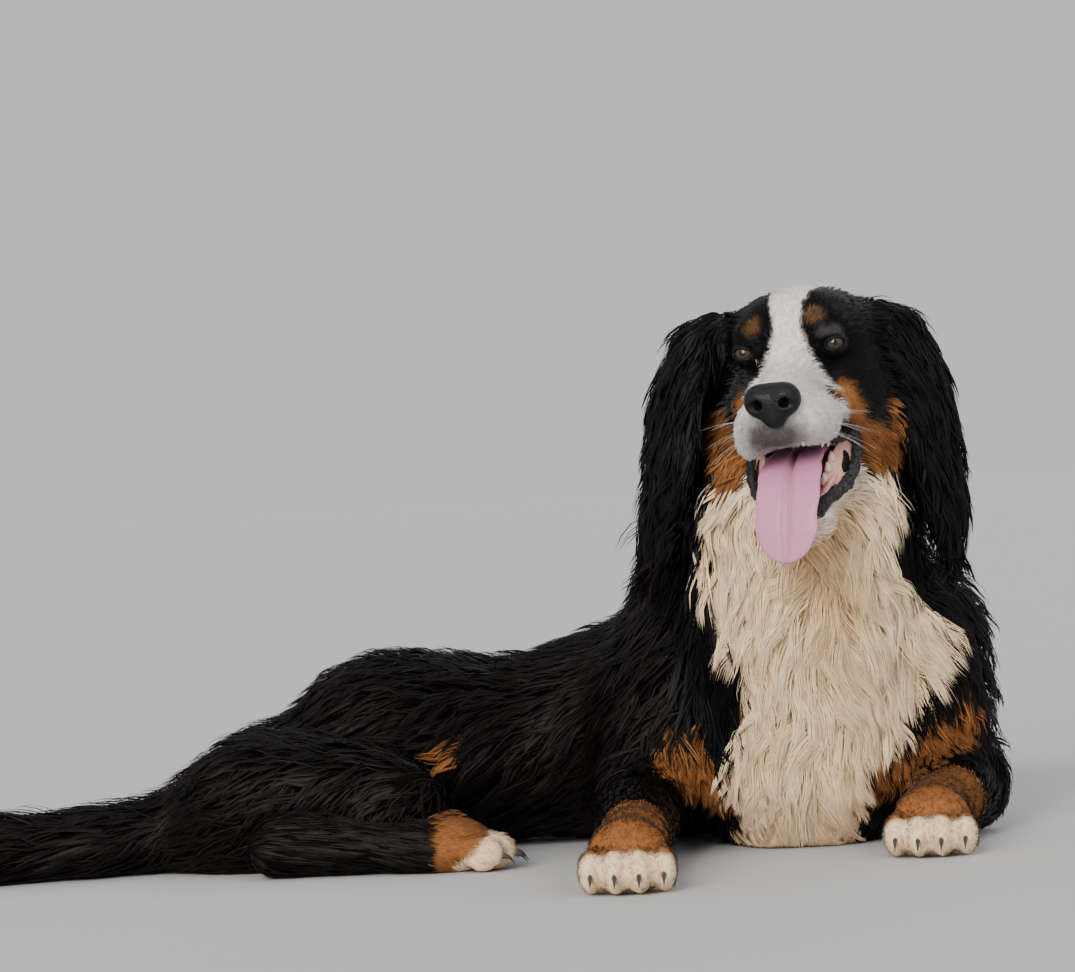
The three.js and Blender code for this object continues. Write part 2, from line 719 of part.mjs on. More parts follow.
function regionOf({ x, y, z }) {
  const limbHere = limbShapes.find(([, field]) => field(x, y, z) < 0);
  if (past(NAPE_CUT, x, y, z) > -6) return 'head';
  if (limbHere) return limbHere[0];
  if (past(TAIL_MIDDLE_CUT, x, y, z) > 0) return 'tail_end';
  if (past(TAIL_ROOT_CUT, x, y, z) > 0) return 'tail_base';
  if (past(HIP_CUT, x, y, z) > 0) return 'rump';
  if (past(SHOULDER_CUT, x, y, z) > 0) return 'barrel';
  return past(THROAT_CUT, x, y, z) > 0 ? 'neck' : 'chest';
}

// Locks keep clear of the floor, the ears, the lower jaw and the legs, and end where their own node does
const earField = melt(sides.flatMap((name) => EARS[name].slice(1).map(
  (point, n) => limb(EARS[name][n], point, 28, 28),
)), 1);
const legFields = Object.values(LEGS).map(
  ({ bones, paw, heading, width }) => melt([...bones, ...pawMasses(paw, heading, width)], LEG_BLEND),
);

function isFree({ x, y, z }) {
  spot.set(x, y, z).applyMatrix4(headUnplace);
  const clear = Math.min(earField(x, y, z), jawField(spot.x, spot.y, spot.z), ...legFields.map((f) => f(x, y, z)));
  return z > 18 && clear > CLEAR;
}

// The way that the coat lies: back along the trunk and down its sides, and down the front of the chest
function bodyLie({ x, y }) {
  const turn = x > -250
    ? THREE.MathUtils.mapLinear(Math.min(x, -60), -60, -250, 115, 180)
    : THREE.MathUtils.mapLinear(Math.max(x, -550), -250, -550, 180, 205);
  const angle = THREE.MathUtils.degToRad(turn);
  const back = new THREE.Vector3(Math.cos(angle), Math.sin(angle), -0.6);
  const down = new THREE.Vector3((x + 8) / 320, -0.1, -1);
  return down.lerp(back, THREE.MathUtils.smoothstep(y, 40, 150));
}

const tailLie = () => new THREE.Vector3(-1, -0.25, -0.25);

function coat(geometry, field, lie, sizes) {
  const spacing = (point) => sizes(point).spacing;
  return spreadRoots(geometry, spacing, isFree).flatMap((root) => {
    const { length, width, thick, depth, wave, flick } = sizes(root);
    const home = regionOf(root);
    const keep = (point) => isFree(point) && regionOf(point) === home;
    if (home === 'head') return [];
    const reach = length * draw(0.85, 1.2);
    const against = (point) => lie(point).negate();
    const ahead = flowLine({ field, root, lie: against, keep, length: reach / 2, wave: 0 });
    const start = ahead.length > 0 ? ahead[ahead.length - 1].at : root;
    return lock({
      field, root: start, lie, keep, depth, thick, wave, flick,
      length: reach,
      width: width * draw(0.85, 1.15),
    });
  });
}

function bodyLockSizes({ x, y, z }) {
  const depth = coatDepth(x, y, z);
  const front = 1 - THREE.MathUtils.smoothstep(y, 60, 190);
  return {
    depth,
    spacing: 68 - 8 * front,
    length: 96 + 22 * front,
    width: 46 - 6 * front,
    thick: 4,
    wave: 0.15 + 0.35 * front,
    flick: 5,
  };
}

const tailLockSizes = () => (
  { depth: TAIL_COAT, spacing: 48, length: 95, width: 34, thick: 3.5, wave: 0.2, flick: 4 }
);

// Locks at the outer edge and the end of an ear
function fringe(name) {
  const line = new THREE.CatmullRomCurve3(EARS[name].map((point) => new THREE.Vector3(...point)));
  const facing = earFacing(name);
  return [0.42, 0.56, 0.7, 0.8, 0.9].flatMap((along, n) => [-1, 1].map((edge) => {
    const tangent = line.getTangentAt(along);
    const across = new THREE.Vector3().crossVectors(facing, tangent).normalize();
    const start = line.getPointAt(along).addScaledVector(across, edge * 20);
    const reach = draw(44, 60);
    const bend = draw(4, 12);
    const points = [0, 0.35, 0.7, 1].map((t) => start.clone()
      .addScaledVector(tangent, reach * t)
      .addScaledVector(across, edge * (bend * Math.sin(2.6 * t) + 4 * t))
      .addScaledVector(facing, (n % 2 === 0 ? 3 : -2) + 3 * t)
      .toArray());
    const wide = (t) => Math.max(0.8, 9 * (0.8 + 0.6 * t) * (1 - t * t));
    const thick = (t) => 4 - 3 * t;
    return solid(loft(sectionsAlong(points, facing, wide, thick, 3), 4));
  }));
}

// Assembly: each later form is cut clear of the ones before it
const headGrown = headCore(GAP);
const jawGrown = jawCore(GAP);
const bodyGrown = body(GAP);

const eyes = sides.map((name) => eye(signs[name], 0));
const eyeRoom = sides.map((name) => eye(signs[name], GAP));
const headWhole = join([headCore(0), ...sides.map((name) => lids(signs[name])), ...upperLips(0)]);
const head = without(headWhole, [inHead(PALATE, 14), tongue(GAP), nose(GAP), ...eyeRoom]);
const headWithTeeth = without(join([head, ...upperTeeth(0)]), [tongue(GAP), ...eyeRoom]);
node('head', headWithTeeth, BLACK, 0.75);

const lowerEdge = [...lowerLips, ...lowerTeeth].map((piece) => piece.subtract(bodyGrown));
const jaw = join([without(jawCore(0), [inHead(MOUTH_FLOOR, 12)]), ...lowerEdge]);
node('lower_jaw', without(jaw, [tongue(GAP), headGrown, ...upperLips(GAP), ...upperTeeth(GAP)]), WHITE, 0.75);
node('tongue', tongue(0), PINK, 0.35);
node('nose', nose(0), NOSE_GREY, 0.3);
sides.forEach((name, n) => node(`${name}_eye`, eyes[n], IRIS_BROWN, 0.1));
sides.forEach((name) => {
  node(`${name}_ear`, without(join([ear(name), ...fringe(name)]), [headGrown, bodyGrown]), BLACK, 0.85);
});

// The body and its locks, parted from the tail forward
const bodyLocks = coat(bodySkin(ROOT_CELL, 0), dogField, bodyLie, bodyLockSizes);
const bodyWhole = join([body(0), ...bodyLocks]).subtract(jawGrown);
const [rumpSide, foreSide] = part(bodyWhole, HIP_CUT);
const [barrelSide, chestSide] = part(foreSide, SHOULDER_CUT);
const [neckSide, chestOnly] = part(chestSide, THROAT_CUT);
const [tailRoot, rump] = part(rumpSide, TAIL_ROOT_CUT);
const armRoom = sides.map((name) => cut(ARMS[name], GAP));
const thighRoom = sides.map((name) => cut(THIGHS[name], GAP));
node('neck', neckSide, BLACK, 0.9);
node('chest', without(chestOnly, armRoom), WHITE, 0.9);
node('barrel', without(barrelSide, [...armRoom, ...thighRoom]), BLACK, 0.9);
node('rump', without(rump, thighRoom), BLACK, 0.9);

const tailLocks = coat(tailSkin(ROOT_CELL), tailField, tailLie, tailLockSizes);
const [tailWhole] = part(join([solid(tailSkin(TAIL_CELL)).intersect(floor), ...tailLocks]), TAIL_ROOT_CUT);
const [tailEnd, tailBase] = part(join([tailWhole, tailRoot]), TAIL_MIDDLE_CUT);
node('tail_base', tailBase, BLACK, 0.9);
node('tail_end', tailEnd, BLACK, 0.9);

sides.forEach((name) => {
  node(`${name}_upper_arm`, bodyWhole.intersect(cut(ARMS[name], 0)), BLACK, 0.9);
  node(`${name}_thigh`, bodyWhole.intersect(cut(THIGHS[name], 0)), BLACK, 0.9);
  const names = { fore: ['forearm', 'forepaw'], hind: ['shank', 'hind_paw'] };
  Object.entries(names).forEach(([end, [upper, lower]]) => {
    const { wrist, paw, heading, width } = LEGS[`${name}_${end}`];
    const whole = without(leg(`${name}_${end}`), [bodyGrown]);
    const [upperLeg, foot] = part(whole, wrist);
    node(`${name}_${upper}`, upperLeg, BLACK, 0.9);
    const nails = claws(paw, heading, width).map((claw) => claw.intersect(floor));
    node(`${name}_${lower}`, without(join([foot, ...nails]), [bodyGrown]), end === 'fore' ? TAN : WHITE, 0.9);
  });
});

export default group;
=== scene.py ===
"""A Bernese mountain dog lying on its chest, with skin, coat, eyes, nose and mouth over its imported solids.

Shapes are planned in millimetres, as in the solids: +X is the dog's left, -Y is ahead of its chest and
+Z is up, from a point on the floor. BRISKET is the frame's own origin in that plan.
"""

import math

import bpy
import numpy as np
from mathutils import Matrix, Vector, kdtree


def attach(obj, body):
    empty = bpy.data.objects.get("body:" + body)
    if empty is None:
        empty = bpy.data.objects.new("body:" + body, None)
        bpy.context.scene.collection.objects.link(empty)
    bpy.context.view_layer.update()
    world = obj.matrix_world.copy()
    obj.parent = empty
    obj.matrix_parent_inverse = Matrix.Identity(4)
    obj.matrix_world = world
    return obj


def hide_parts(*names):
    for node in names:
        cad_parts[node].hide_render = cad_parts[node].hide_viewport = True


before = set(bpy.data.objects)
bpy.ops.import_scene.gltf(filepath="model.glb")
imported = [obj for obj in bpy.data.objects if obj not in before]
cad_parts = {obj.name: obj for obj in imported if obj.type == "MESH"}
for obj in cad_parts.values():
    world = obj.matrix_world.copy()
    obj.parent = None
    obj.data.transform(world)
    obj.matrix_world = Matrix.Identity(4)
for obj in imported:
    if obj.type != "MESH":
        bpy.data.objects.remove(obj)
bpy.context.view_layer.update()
rng = np.random.default_rng(11)

# The way to each side along X
SIDES = {"right": -1, "left": 1}

# Driving dimensions, in plan millimetres
BRISKET = np.array([-5.0, 112.0, 0.0])
SKULL_AT = np.array([10.0, 15.0, 471.0])
HEAD_YAW = 16
HEAD_ROLL = 3
EYE_AT = np.array([42.5, -61.8, 5.0])
EYE_RADIUS = 11.6
ALMOND_HALF_WIDTH = 10.2
ALMOND_HALF_HEIGHT = 6.2
NOSE_AT = np.array([0.0, -160.0, -47.0])
TONGUE_WIDTH = 60
PAW_WIDTH = 92
HIND_PAW_WIDTH = 80
NAPE_POINT = np.array([5.0, 40.0, 400.0])
NAPE_NORMAL = np.array([0.0, -0.5, 0.87]) / math.hypot(0.5, 0.87)

# How softly the masses melt into each other, and how soft the edges of the openings are
BLEND = {
    "body": 45, "head": 20, "orbits": 4, "orbit_edge": 7, "mouth": 10, "leg": 14, "toes": 13, "toe_edge": 7,
    "ear_leaf": 4, "neck": 26, "jaw": 12, "leg_root": 16, "tail_root": 20, "ear_root": 10, "mouth_edge": 5,
    "eye_edge": 2,
}

# Coat depths: between the skin and the outer surface of the solids
CHEST_COAT = 30
TRUNK_COAT = 22
TAIL_COAT = 20
CORE_SHARE = 0.5
SHORT_COAT = 3.0

# Tufts: lengths in millimetres, and how width and layers over each other follow from length
TRUNK_HAIR = 44
CHEST_HAIR_MORE = 18
FACE_HAIR = 4.8
EAR_HAIR = {"right": 50, "left": 54}
TAIL_HAIR = 64
PAW_HAIR = 6.5
LEG_HAIR = {"fore": (18, 70, 150), "hind": (30, 5, 60)}  # more length, from and to how far behind the paw
WIDTH_BY_LENGTH = ([5, 14, 30, 60], [0.68, 1.1, 1.6, 2.0])
LAYERS_BY_LENGTH = ([6, 12, 25, 50], [2.3, 2.0, 1.8, 1.8])
FINE_LAYERS = 9.5
SHORT_BELOW = 13
LONG_FROM = 25

# The undercoat under long hair is wider, sparser and deeper
UNDER_WIDTH = 3.0
UNDER_LAYERS = 2.0
UNDER_DEPTH = 0.3

# Tufts longer than this hang free of the coat's surface from that share of their length
FREE_LENGTH = 20
FREE_FROM = 0.5

# A tuft's patch on the unwrap, a piece's triangles, and a tuft's colour and normals by marking: the colour is
# darkened at the roots as painted shade between the hairs
PATCH_HALF_WIDTH = 0.0014
PATCH_LENGTH = 0.003
MOST_TRIANGLES = 190000
ROOT_PAINTED_SHADE = {
    "white": np.array([0.88, 0.74, 0.60]),
    "tan": np.array([0.85, 0.78, 0.72]),
    "black": np.array([0.7, 0.7, 0.7]),
}
SOFTNESS = {"white": 0.93, "tan": 0.8, "black": 0.7}

# Sampling of the skin
BODY_CELL = 9.0
HEAD_CELL = 4.2
NOSE_CELL = 1.6
LOWEST = 1.0
SLOPE_STEP = 0.7

# Camera, from the photo: a level view from the front, turned a little about its axis
CAMERA_AT = (-0.245, -3.512, 0.360)
CAMERA_ROLL = 3
LENS = 120
LIT_POINT = (0, 0, 0.25)

# Linear colours
BLACK = np.array([0.0017, 0.0017, 0.0021])
BROWN_BLACK = np.array([0.0075, 0.0038, 0.0024])
CREAM = np.array([0.97, 0.735, 0.475])
COOL_WHITE = np.array([0.82, 0.79, 0.77])
TAN = np.array([0.23, 0.092, 0.031])
GREY = np.array([0.05, 0.046, 0.048])
MUZZLE_GREY = np.array([0.055, 0.048, 0.054])
WARM = np.array([0.93, 0.84, 0.72])
MOUTH_PINK = np.array([0.50, 0.17, 0.15])
LIP_BLACK = np.array([0.014, 0.012, 0.013])
PUPIL_COLOUR = np.array([0.003, 0.003, 0.003])
IRIS_COLOUR = np.array([0.040, 0.024, 0.011])
IRIS_EDGE_COLOUR = np.array([0.018, 0.010, 0.008])
EYEBALL_COLOUR = np.array([0.006, 0.004, 0.004])


# Rounded masses: those of the solids, with fuller wrists and a hanging lip.
# Every field takes an array of points and gives one value for each.


def ball(x, y, z, rx, ry, rz, turn=0):
    cos, sin = math.cos(math.radians(turn)), math.sin(math.radians(turn))

    def field(p):
        dx, dy, dz = p[:, 0] - x, p[:, 1] - y, p[:, 2] - z
        ax, ay = dx * cos + dy * sin, dy * cos - dx * sin
        k0 = np.sqrt((ax / rx) ** 2 + (ay / ry) ** 2 + (dz / rz) ** 2)
        k1 = np.sqrt((ax / rx**2) ** 2 + (ay / ry**2) ** 2 + (dz / rz**2) ** 2)
        return k0 * (k0 - 1) / np.maximum(k1, 1e-9)

    return field


def ball_pair(x, *place_and_size):
    """The same ball on both sides, the dog's left first."""
    return [ball(sign * x, *place_and_size) for sign in (1, -1)]


def limb(start, end, start_radius, end_radius, flat=1.0):
    scale = np.array([1, 1, 1 / flat])
    start = np.array(start) * scale
    bone = np.array(end) * scale - start
    square = bone @ bone

    def field(p):
        d = p * scale - start
        along = np.clip(d @ bone / square, 0, 1)
        radius = start_radius + (end_radius - start_radius) * along
        return np.sqrt(((d - along[:, None] * bone) ** 2).sum(1)) - radius

    return field


def chain(points, radii, flat=1.0):
    """A limb from each point to the next."""
    ends = zip(points, points[1:], radii, radii[1:])
    return [limb(*end, flat) for end in ends]


def melt_two(a, b, blend):
    share = np.clip(0.5 + 0.5 * (b - a) / blend, 0, 1)
    return b + (a - b) * share - blend * share * (1 - share)


def melt(masses, blend):
    def field(p):
        value = masses[0](p)
        for mass in masses[1:]:
            value = melt_two(value, mass(p), blend)
        return value

    return field


def step_between(value, low, high):
    t = np.clip((value - low) / (high - low), 0, 1)
    return t * t * (3 - 2 * t)


def unit(v):
    return v / np.maximum(np.linalg.norm(v, axis=-1, keepdims=True), 1e-9)


def columns(x, y, z):
    return np.stack(np.broadcast_arrays(x, y, z), 1)


def turns_of(count):
    """That many angles, evenly round a circle."""
    return np.linspace(0, 2 * math.pi, count, endpoint=False)


# The head has its own frame about the middle of the skull


def head_matrix():
    yaw, roll = math.radians(-HEAD_YAW), math.radians(-HEAD_ROLL)
    about_z = np.array([[math.cos(yaw), -math.sin(yaw), 0], [math.sin(yaw), math.cos(yaw), 0], [0, 0, 1]])
    about_y = np.array([[math.cos(roll), 0, math.sin(roll)], [0, 1, 0], [-math.sin(roll), 0, math.cos(roll)]])
    return about_z @ about_y


HEAD = head_matrix()


def in_head(p):
    return (p - SKULL_AT) @ HEAD


def from_head(q):
    return q @ HEAD.T + SKULL_AT


SKULL = [
    ball(0, 22, 2, 78, 84, 66),
    ball(0, -26, 14, 58, 52, 48),
    *ball_pair(30, -54, 20, 24, 20, 16),
    *ball_pair(46, -12, -42, 34, 52, 42),
    *ball_pair(58, 10, -62, 34, 46, 50),
    limb([0, -60, -26], [0, -140, -46], 27, 21),
    *ball_pair(25, -100, -64, 25, 48, 27),
    ball(0, -136, -64, 34, 24, 25),
    ball(-33, -130, -82, 11, 17, 15),
]
JAW = [
    limb([0, 4, -94], [0, -94, -158], 46, 31, 0.72),
    ball(0, -98, -160, 30, 20, 17),
    *ball_pair(37, -46, -112, 13, 30, 25),
]
MOUTH = [ball(0, -80, -101, 40, 61, 21), ball(0, -71, -117, 33, 56, 21)]
ORBITS = [ball(sign * 41, -63, 5, 17, 16, 14.5) for sign in SIDES.values()]
TRUNK = [
    ball(-8, 112, 205, 145, 120, 150),
    ball(-5, 112, 92, 120, 125, 112),
    ball(-108, 135, 150, 82, 105, 118),
    ball(104, 135, 150, 76, 100, 116),
    ball(112, 105, 205, 66, 80, 66),
    ball(-40, 185, 235, 112, 118, 95),
    ball(-150, 235, 110, 145, 142, 115),
    ball(-300, 250, 97, 128, 130, 94),
    ball(-405, 220, 104, 115, 128, 100),
    ball(-505, 175, 60, 90, 108, 64),
    ball(-586, 145, 36, 48, 72, 40),
    limb([-570, 148, 44], [-655, 122, 40], 46, 38),
    limb([5, 75, 440], [-22, 140, 290], 88, 118),
    ball(-4, 62, 320, 130, 92, 92),
    ball(-8, 30, 235, 98, 58, 118),
    ball(62, 62, 366, 44, 54, 66),
    limb([-125, 112, 150], [-168, 42, 62], 58, 46),
    limb([118, 122, 150], [152, 128, 58], 58, 46),
    limb([-540, 100, 62], [-396, 44, 58], 70, 56),
    limb([-540, 240, 62], [-396, 322, 58], 70, 56),
]
TAIL_LINE = [[-600, 138, 40], [-700, 108, 36], [-810, 84, 35], [-905, 72, 30], [-960, 68, 20]]
TAIL = chain(TAIL_LINE, [34, 43, 44, 36, 18], 0.8)
EAR_LINES = {
    "right": [[-48, 48, 487], [-76, 42, 489], [-99, 34, 466], [-114, 26, 422], [-122, 22, 370],
              [-132, 26, 318], [-142, 36, 286]],
    "left": [[62, 46, 489], [90, 40, 493], [112, 34, 473], [125, 26, 427], [132, 22, 372],
             [139, 26, 322], [143, 34, 292]],
}
EAR_FACING = {"right": [-0.86, -0.5, 0.1], "left": [0.79, -0.6, 0.1]}
EAR_WIDTHS = [22, 34, 42, 47, 46, 40, 24]
EAR_FLATNESS = 3.4
EAR_SLOPE = 1.8
TOES_ACROSS = 4.3


def leg_plan(bones, paw, heading, width):
    """The wrist is where the last bone ends."""
    return {
        "bones": [limb(*bone) for bone in bones], "wrist": bones[-1][1], "paw": paw, "heading": heading,
        "width": width,
    }


LEGS = {
    "right_fore": leg_plan([([-170, 30, 46], [-180, -170, 34], 44, 31)], [-187, -228], 267, PAW_WIDTH),
    "left_fore": leg_plan([([154, 118, 44], [112, -6, 34], 44, 31)], [102, -56], 261, PAW_WIDTH),
    "right_hind": leg_plan(
        [([-400, 30, 42], [-515, 14, 32], 36, 27), ([-515, 10, 28], [-392, -4, 26], 27, 25)],
        [-352, -6], 357, HIND_PAW_WIDTH),
    "left_hind": leg_plan(
        [([-400, 336, 42], [-515, 352, 32], 36, 27), ([-515, 356, 28], [-392, 370, 26], 27, 25)],
        [-352, 372], 3, HIND_PAW_WIDTH),
}


def ear_field(name):
    """A flat leaf: its distances are squeezed along the way that it faces."""
    facing = unit(np.array(EAR_FACING[name]))
    squeeze = np.eye(3) + (EAR_FLATNESS - 1) * np.outer(facing, facing)
    line = np.array(EAR_LINES[name], float) @ squeeze
    leaf = melt(chain(line, EAR_WIDTHS), BLEND["ear_leaf"])
    return lambda p: leaf(p @ squeeze) / EAR_SLOPE


def heading_of(leg):
    angle = math.radians(leg["heading"])
    return np.array([math.cos(angle), math.sin(angle), 0])


def toe_places(leg):
    """Centre of each toe, in plan millimetres."""
    width, ahead = leg["width"], heading_of(leg)
    across = np.array([-ahead[1], ahead[0], 0])
    places = []
    for n in range(4):
        reach = width * (0.42 if n in (0, 3) else 0.55)
        place = np.array([*leg["paw"], width * 0.22])
        places.append(place + ahead * reach + across * (n - 1.5) * width / TOES_ACROSS)
    return places


def leg_field(leg):
    width = leg["width"]
    pad = ball(*leg["paw"], width * 0.3, width * 0.58, width * 0.42, width * 0.36, leg["heading"])
    wrist = limb([*leg["paw"], width * 0.34], leg["wrist"], width * 0.34, width * 0.33)
    toe_sizes = width * 0.28, width / TOES_ACROSS * 0.66, width * 0.24
    toes = [ball(*at, *toe_sizes, leg["heading"]) for at in toe_places(leg)]
    return melt(leg["bones"] + [pad, wrist], BLEND["leg"]), melt(toes, BLEND["toes"])


skull_mass = melt(SKULL, BLEND["head"])
orbit_mass = melt(ORBITS, BLEND["orbits"])
jaw_field = melt(JAW, BLEND["head"])
mouth_field = melt(MOUTH, BLEND["mouth"])
trunk_field = melt(TRUNK, BLEND["body"])
tail_field = melt(TAIL, BLEND["leg"])
leg_fields = {name: leg_field(leg) for name, leg in LEGS.items()}
ear_fields = {name: ear_field(name) for name in EAR_LINES}
GROUPS = ["body", "head", "jaw", *LEGS, "tail", "right_ear", "left_ear"]


def skull_field(q):
    return melt_two(skull_mass(q), orbit_mass(q), BLEND["orbit_edge"])


def eye_opening(q):
    """Below zero in the almond in front of an eye that the lids leave open."""
    x, y, z = (np.stack([np.abs(q[:, 0]), q[:, 1], q[:, 2]]) - EYE_AT[:, None])
    almond = (np.hypot((x - 1) / ALMOND_HALF_WIDTH, (z + 0.4) / ALMOND_HALF_HEIGHT) - 1) * 5
    return np.maximum(almond, y + 6)


def legs_value(name, p):
    bones, toes = leg_fields[name]
    return melt_two(bones(p), toes(p), BLEND["toe_edge"])


def group_values(p):
    """The field of each group of masses, one row for each."""
    q = in_head(p)
    rows = [trunk_field(p), skull_field(q), jaw_field(q)]
    rows += [legs_value(name, p) for name in LEGS]
    rows += [tail_field(p), ear_fields["right"](p), ear_fields["left"](p)]
    return np.array(rows)


def shares_of(rows, soft=9.0):
    """How far each group owns each point, by the group's name, adding up to 1."""
    weight = np.exp(-(rows - rows.min(0)) / soft)
    return dict(zip(GROUPS, weight / weight.sum(0)))


def shares_at(p):
    return shares_of(group_values(p))


def past_nape(p):
    return (p - NAPE_POINT) @ NAPE_NORMAL


def long_coat_depth(p):
    front = 1 - step_between(p[:, 1], 60, 190)
    depth = TRUNK_COAT + (CHEST_COAT - TRUNK_COAT) * front
    return depth * step_between(-past_nape(p), 0, 50) * step_between(p[:, 2], 4, 60)


def coat_inset(p, rows):
    share = shares_of(rows)
    body = np.maximum(SHORT_COAT, CORE_SHARE * long_coat_depth(p))
    tail = np.maximum(SHORT_COAT, CORE_SHARE * TAIL_COAT * step_between(-p[:, 0], 640, 720))
    deep = share["body"] * body + share["tail"] * tail * step_between(p[:, 2], 2, 24)
    return deep + (1 - share["body"] - share["tail"]) * SHORT_COAT


def outer_value(p):
    """The outer surface of the coat, with the mouth open, and the groups' own fields."""
    rows = group_values(p)
    joins = ["neck", "jaw", *["leg_root"] * len(LEGS), "tail_root", "ear_root", "ear_root"]
    value = rows[0]
    for row, join in zip(rows[1:], joins):
        value = melt_two(value, row, BLEND[join])
    return value, rows


def outer_field(p):
    return outer_value(p)[0]


def skin_field(p):
    value, rows = outer_value(p)
    q = in_head(p)
    body = -(value + coat_inset(p, rows))
    open_mouth = melt_two(body, mouth_field(q), BLEND["mouth_edge"])
    return -melt_two(open_mouth, eye_opening(q), BLEND["eye_edge"])


def slope_of(field, p):
    """Distance to a field's surface and the way out of it, at each point."""
    corners = np.array([[1, 1, 1], [1, -1, -1], [-1, 1, -1], [-1, -1, 1]])
    samples = [field(p + SLOPE_STEP * corner) for corner in corners]
    gradient = sum(corner * sample[:, None] for corner, sample in zip(corners, samples)) / (4 * SLOPE_STEP)
    size = np.maximum(np.linalg.norm(gradient, axis=1), 0.2)
    return sum(samples) / 4 / size, gradient / size[:, None]


# The skin: one vertex in each cell that the field crosses, then finer faces settled on the field


def in_slabs(field, points, size=150000):
    return np.concatenate([field(points[n : n + size]) for n in range(0, len(points), size)])


def polygonise(field, low, high, cell):
    """Points near the field's surface and the quads between them."""
    axes = [np.arange(a, b + cell, cell) for a, b in zip(low, high)]
    grid = np.stack(np.meshgrid(*axes, indexing="ij"), -1)
    values = in_slabs(field, grid.reshape(-1, 3)).reshape(grid.shape[:3])
    inside = values < 0
    corners = [(a, b, c) for a in (0, 1) for b in (0, 1) for c in (0, 1)]
    shape = [n - 1 for n in inside.shape]

    def shifted(array, corner):
        return array[tuple(slice(c, c + n) for c, n in zip(corner, shape))]

    count = sum(shifted(inside, corner).astype(int) for corner in corners)
    active = (count > 0) & (count < 8)
    cells = np.argwhere(active)
    number = np.full(inside.shape, -1)
    number[tuple(cells.T)] = np.arange(len(cells))
    total = np.zeros((len(cells), 3))
    crossings = np.zeros(len(cells))
    for a in corners:
        for b in corners:
            if sum(abs(m - n) for m, n in zip(a, b)) != 1 or a > b:
                continue
            va = shifted(values, a)[active]
            vb = shifted(values, b)[active]
            crosses = (va < 0) != (vb < 0)
            t = np.where(crosses, va / np.where(crosses, va - vb, 1), 0)
            place = np.array(a) + t[:, None] * (np.array(b) - np.array(a))
            total += place * crosses[:, None]
            crossings += crosses
    points = np.array(low) + (cells + total / crossings[:, None]) * cell
    quads = []
    for axis in range(3):
        u, v = (np.eye(3, dtype=int)[(axis + turn) % 3] for turn in (1, 2))
        at = np.argwhere(np.diff(inside, axis=axis))
        at = at[(at > 0).all(1) & (at < np.array(shape)).all(1)]
        quad = np.stack([number[tuple((at - back).T)] for back in (0 * u, u, u + v, v)], 1)
        outside = ~inside[tuple(at.T)]
        quad[outside] = quad[outside, ::-1]
        quads.append(quad)
    return points, np.concatenate(quads)


def settle(field, points, passes=3):
    for _ in range(passes):
        distance, out = slope_of(field, points)
        points = points - out * np.clip(distance, -4, 4)[:, None]
    return points


def subdivide(points, quads, uvs):
    """Each quad becomes four. uvs holds one pair for each corner of each quad."""
    ends = np.sort(np.stack([quads, np.roll(quads, -1, 1)], -1).reshape(-1, 2), 1)
    edges = ends[:, 0] * len(points) + ends[:, 1]
    keys, first, where = np.unique(edges, return_index=True, return_inverse=True)
    middles = points[ends[first]].mean(1)
    edge = len(points) + where.reshape(-1, 4)
    centre = len(points) + len(keys) + np.arange(len(quads))
    middle_uv = (uvs + np.roll(uvs, -1, 1)) / 2
    centre_uv = uvs.mean(1)
    faces = [np.stack([quads[:, n], edge[:, n], centre, edge[:, n - 1]], 1) for n in range(4)]
    face_uvs = [np.stack([uvs[:, n], middle_uv[:, n], centre_uv, middle_uv[:, n - 1]], 1) for n in range(4)]
    everything = np.concatenate([points, middles, points[quads].mean(1)])
    return everything, np.concatenate(faces), np.concatenate(face_uvs)


# Blender objects from arrays


def to_frame(points):
    return (points - BRISKET) / 1000


def make_object(name, points, quads=(), triangles=(), colours=None, corner_uvs=None, normals=None):
    """points are plan millimetres; corner_uvs follow the quads' corners and then the triangles'."""
    quads = np.asarray(quads, int).reshape(-1, 4)
    triangles = np.asarray(triangles, int).reshape(-1, 3)
    mesh = bpy.data.meshes.new(name)
    mesh.vertices.add(len(points))
    mesh.vertices.foreach_set("co", to_frame(points).ravel())
    corners = np.concatenate([quads.ravel(), triangles.ravel()])
    mesh.loops.add(len(corners))
    mesh.loops.foreach_set("vertex_index", corners)
    mesh.polygons.add(len(quads) + len(triangles))
    sizes = np.concatenate([np.full(len(quads), 4), np.full(len(triangles), 3)])
    mesh.polygons.foreach_set("loop_start", np.concatenate([[0], np.cumsum(sizes)[:-1]]))
    mesh.update(calc_edges=True)
    mesh.shade_smooth()
    if colours is not None:
        layer = mesh.color_attributes.new(name="coat", type="FLOAT_COLOR", domain="POINT")
        layer.data.foreach_set("color", np.column_stack([colours, np.ones(len(colours))]).ravel())
    if corner_uvs is not None:
        mesh.uv_layers.new(name="OFBake").uv.foreach_set("vector", corner_uvs.ravel())
    if normals is not None:
        mesh.normals_split_custom_set_from_vertices(normals)
    obj = bpy.data.objects.new(name, mesh)
    bpy.context.collection.objects.link(obj)
    return obj


def unwrap(points, quads):
    """One uv pair for each corner, from an unwrap of the faces' own shape."""
    obj = make_object("unwrapped", points, quads)
    bpy.context.view_layer.objects.active = obj
    obj.select_set(True)
    bpy.ops.object.mode_set(mode="EDIT")
    bpy.ops.mesh.select_all(action="SELECT")
    bpy.ops.uv.smart_project(angle_limit=math.radians(66), island_margin=0.003)
    bpy.ops.object.mode_set(mode="OBJECT")
    uvs = np.empty(len(quads) * 8)
    obj.data.uv_layers.active.uv.foreach_get("vector", uvs)
    bpy.data.objects.remove(obj)
    return uvs.reshape(-1, 4, 2)


# Markings, from the places of the marks in the photo


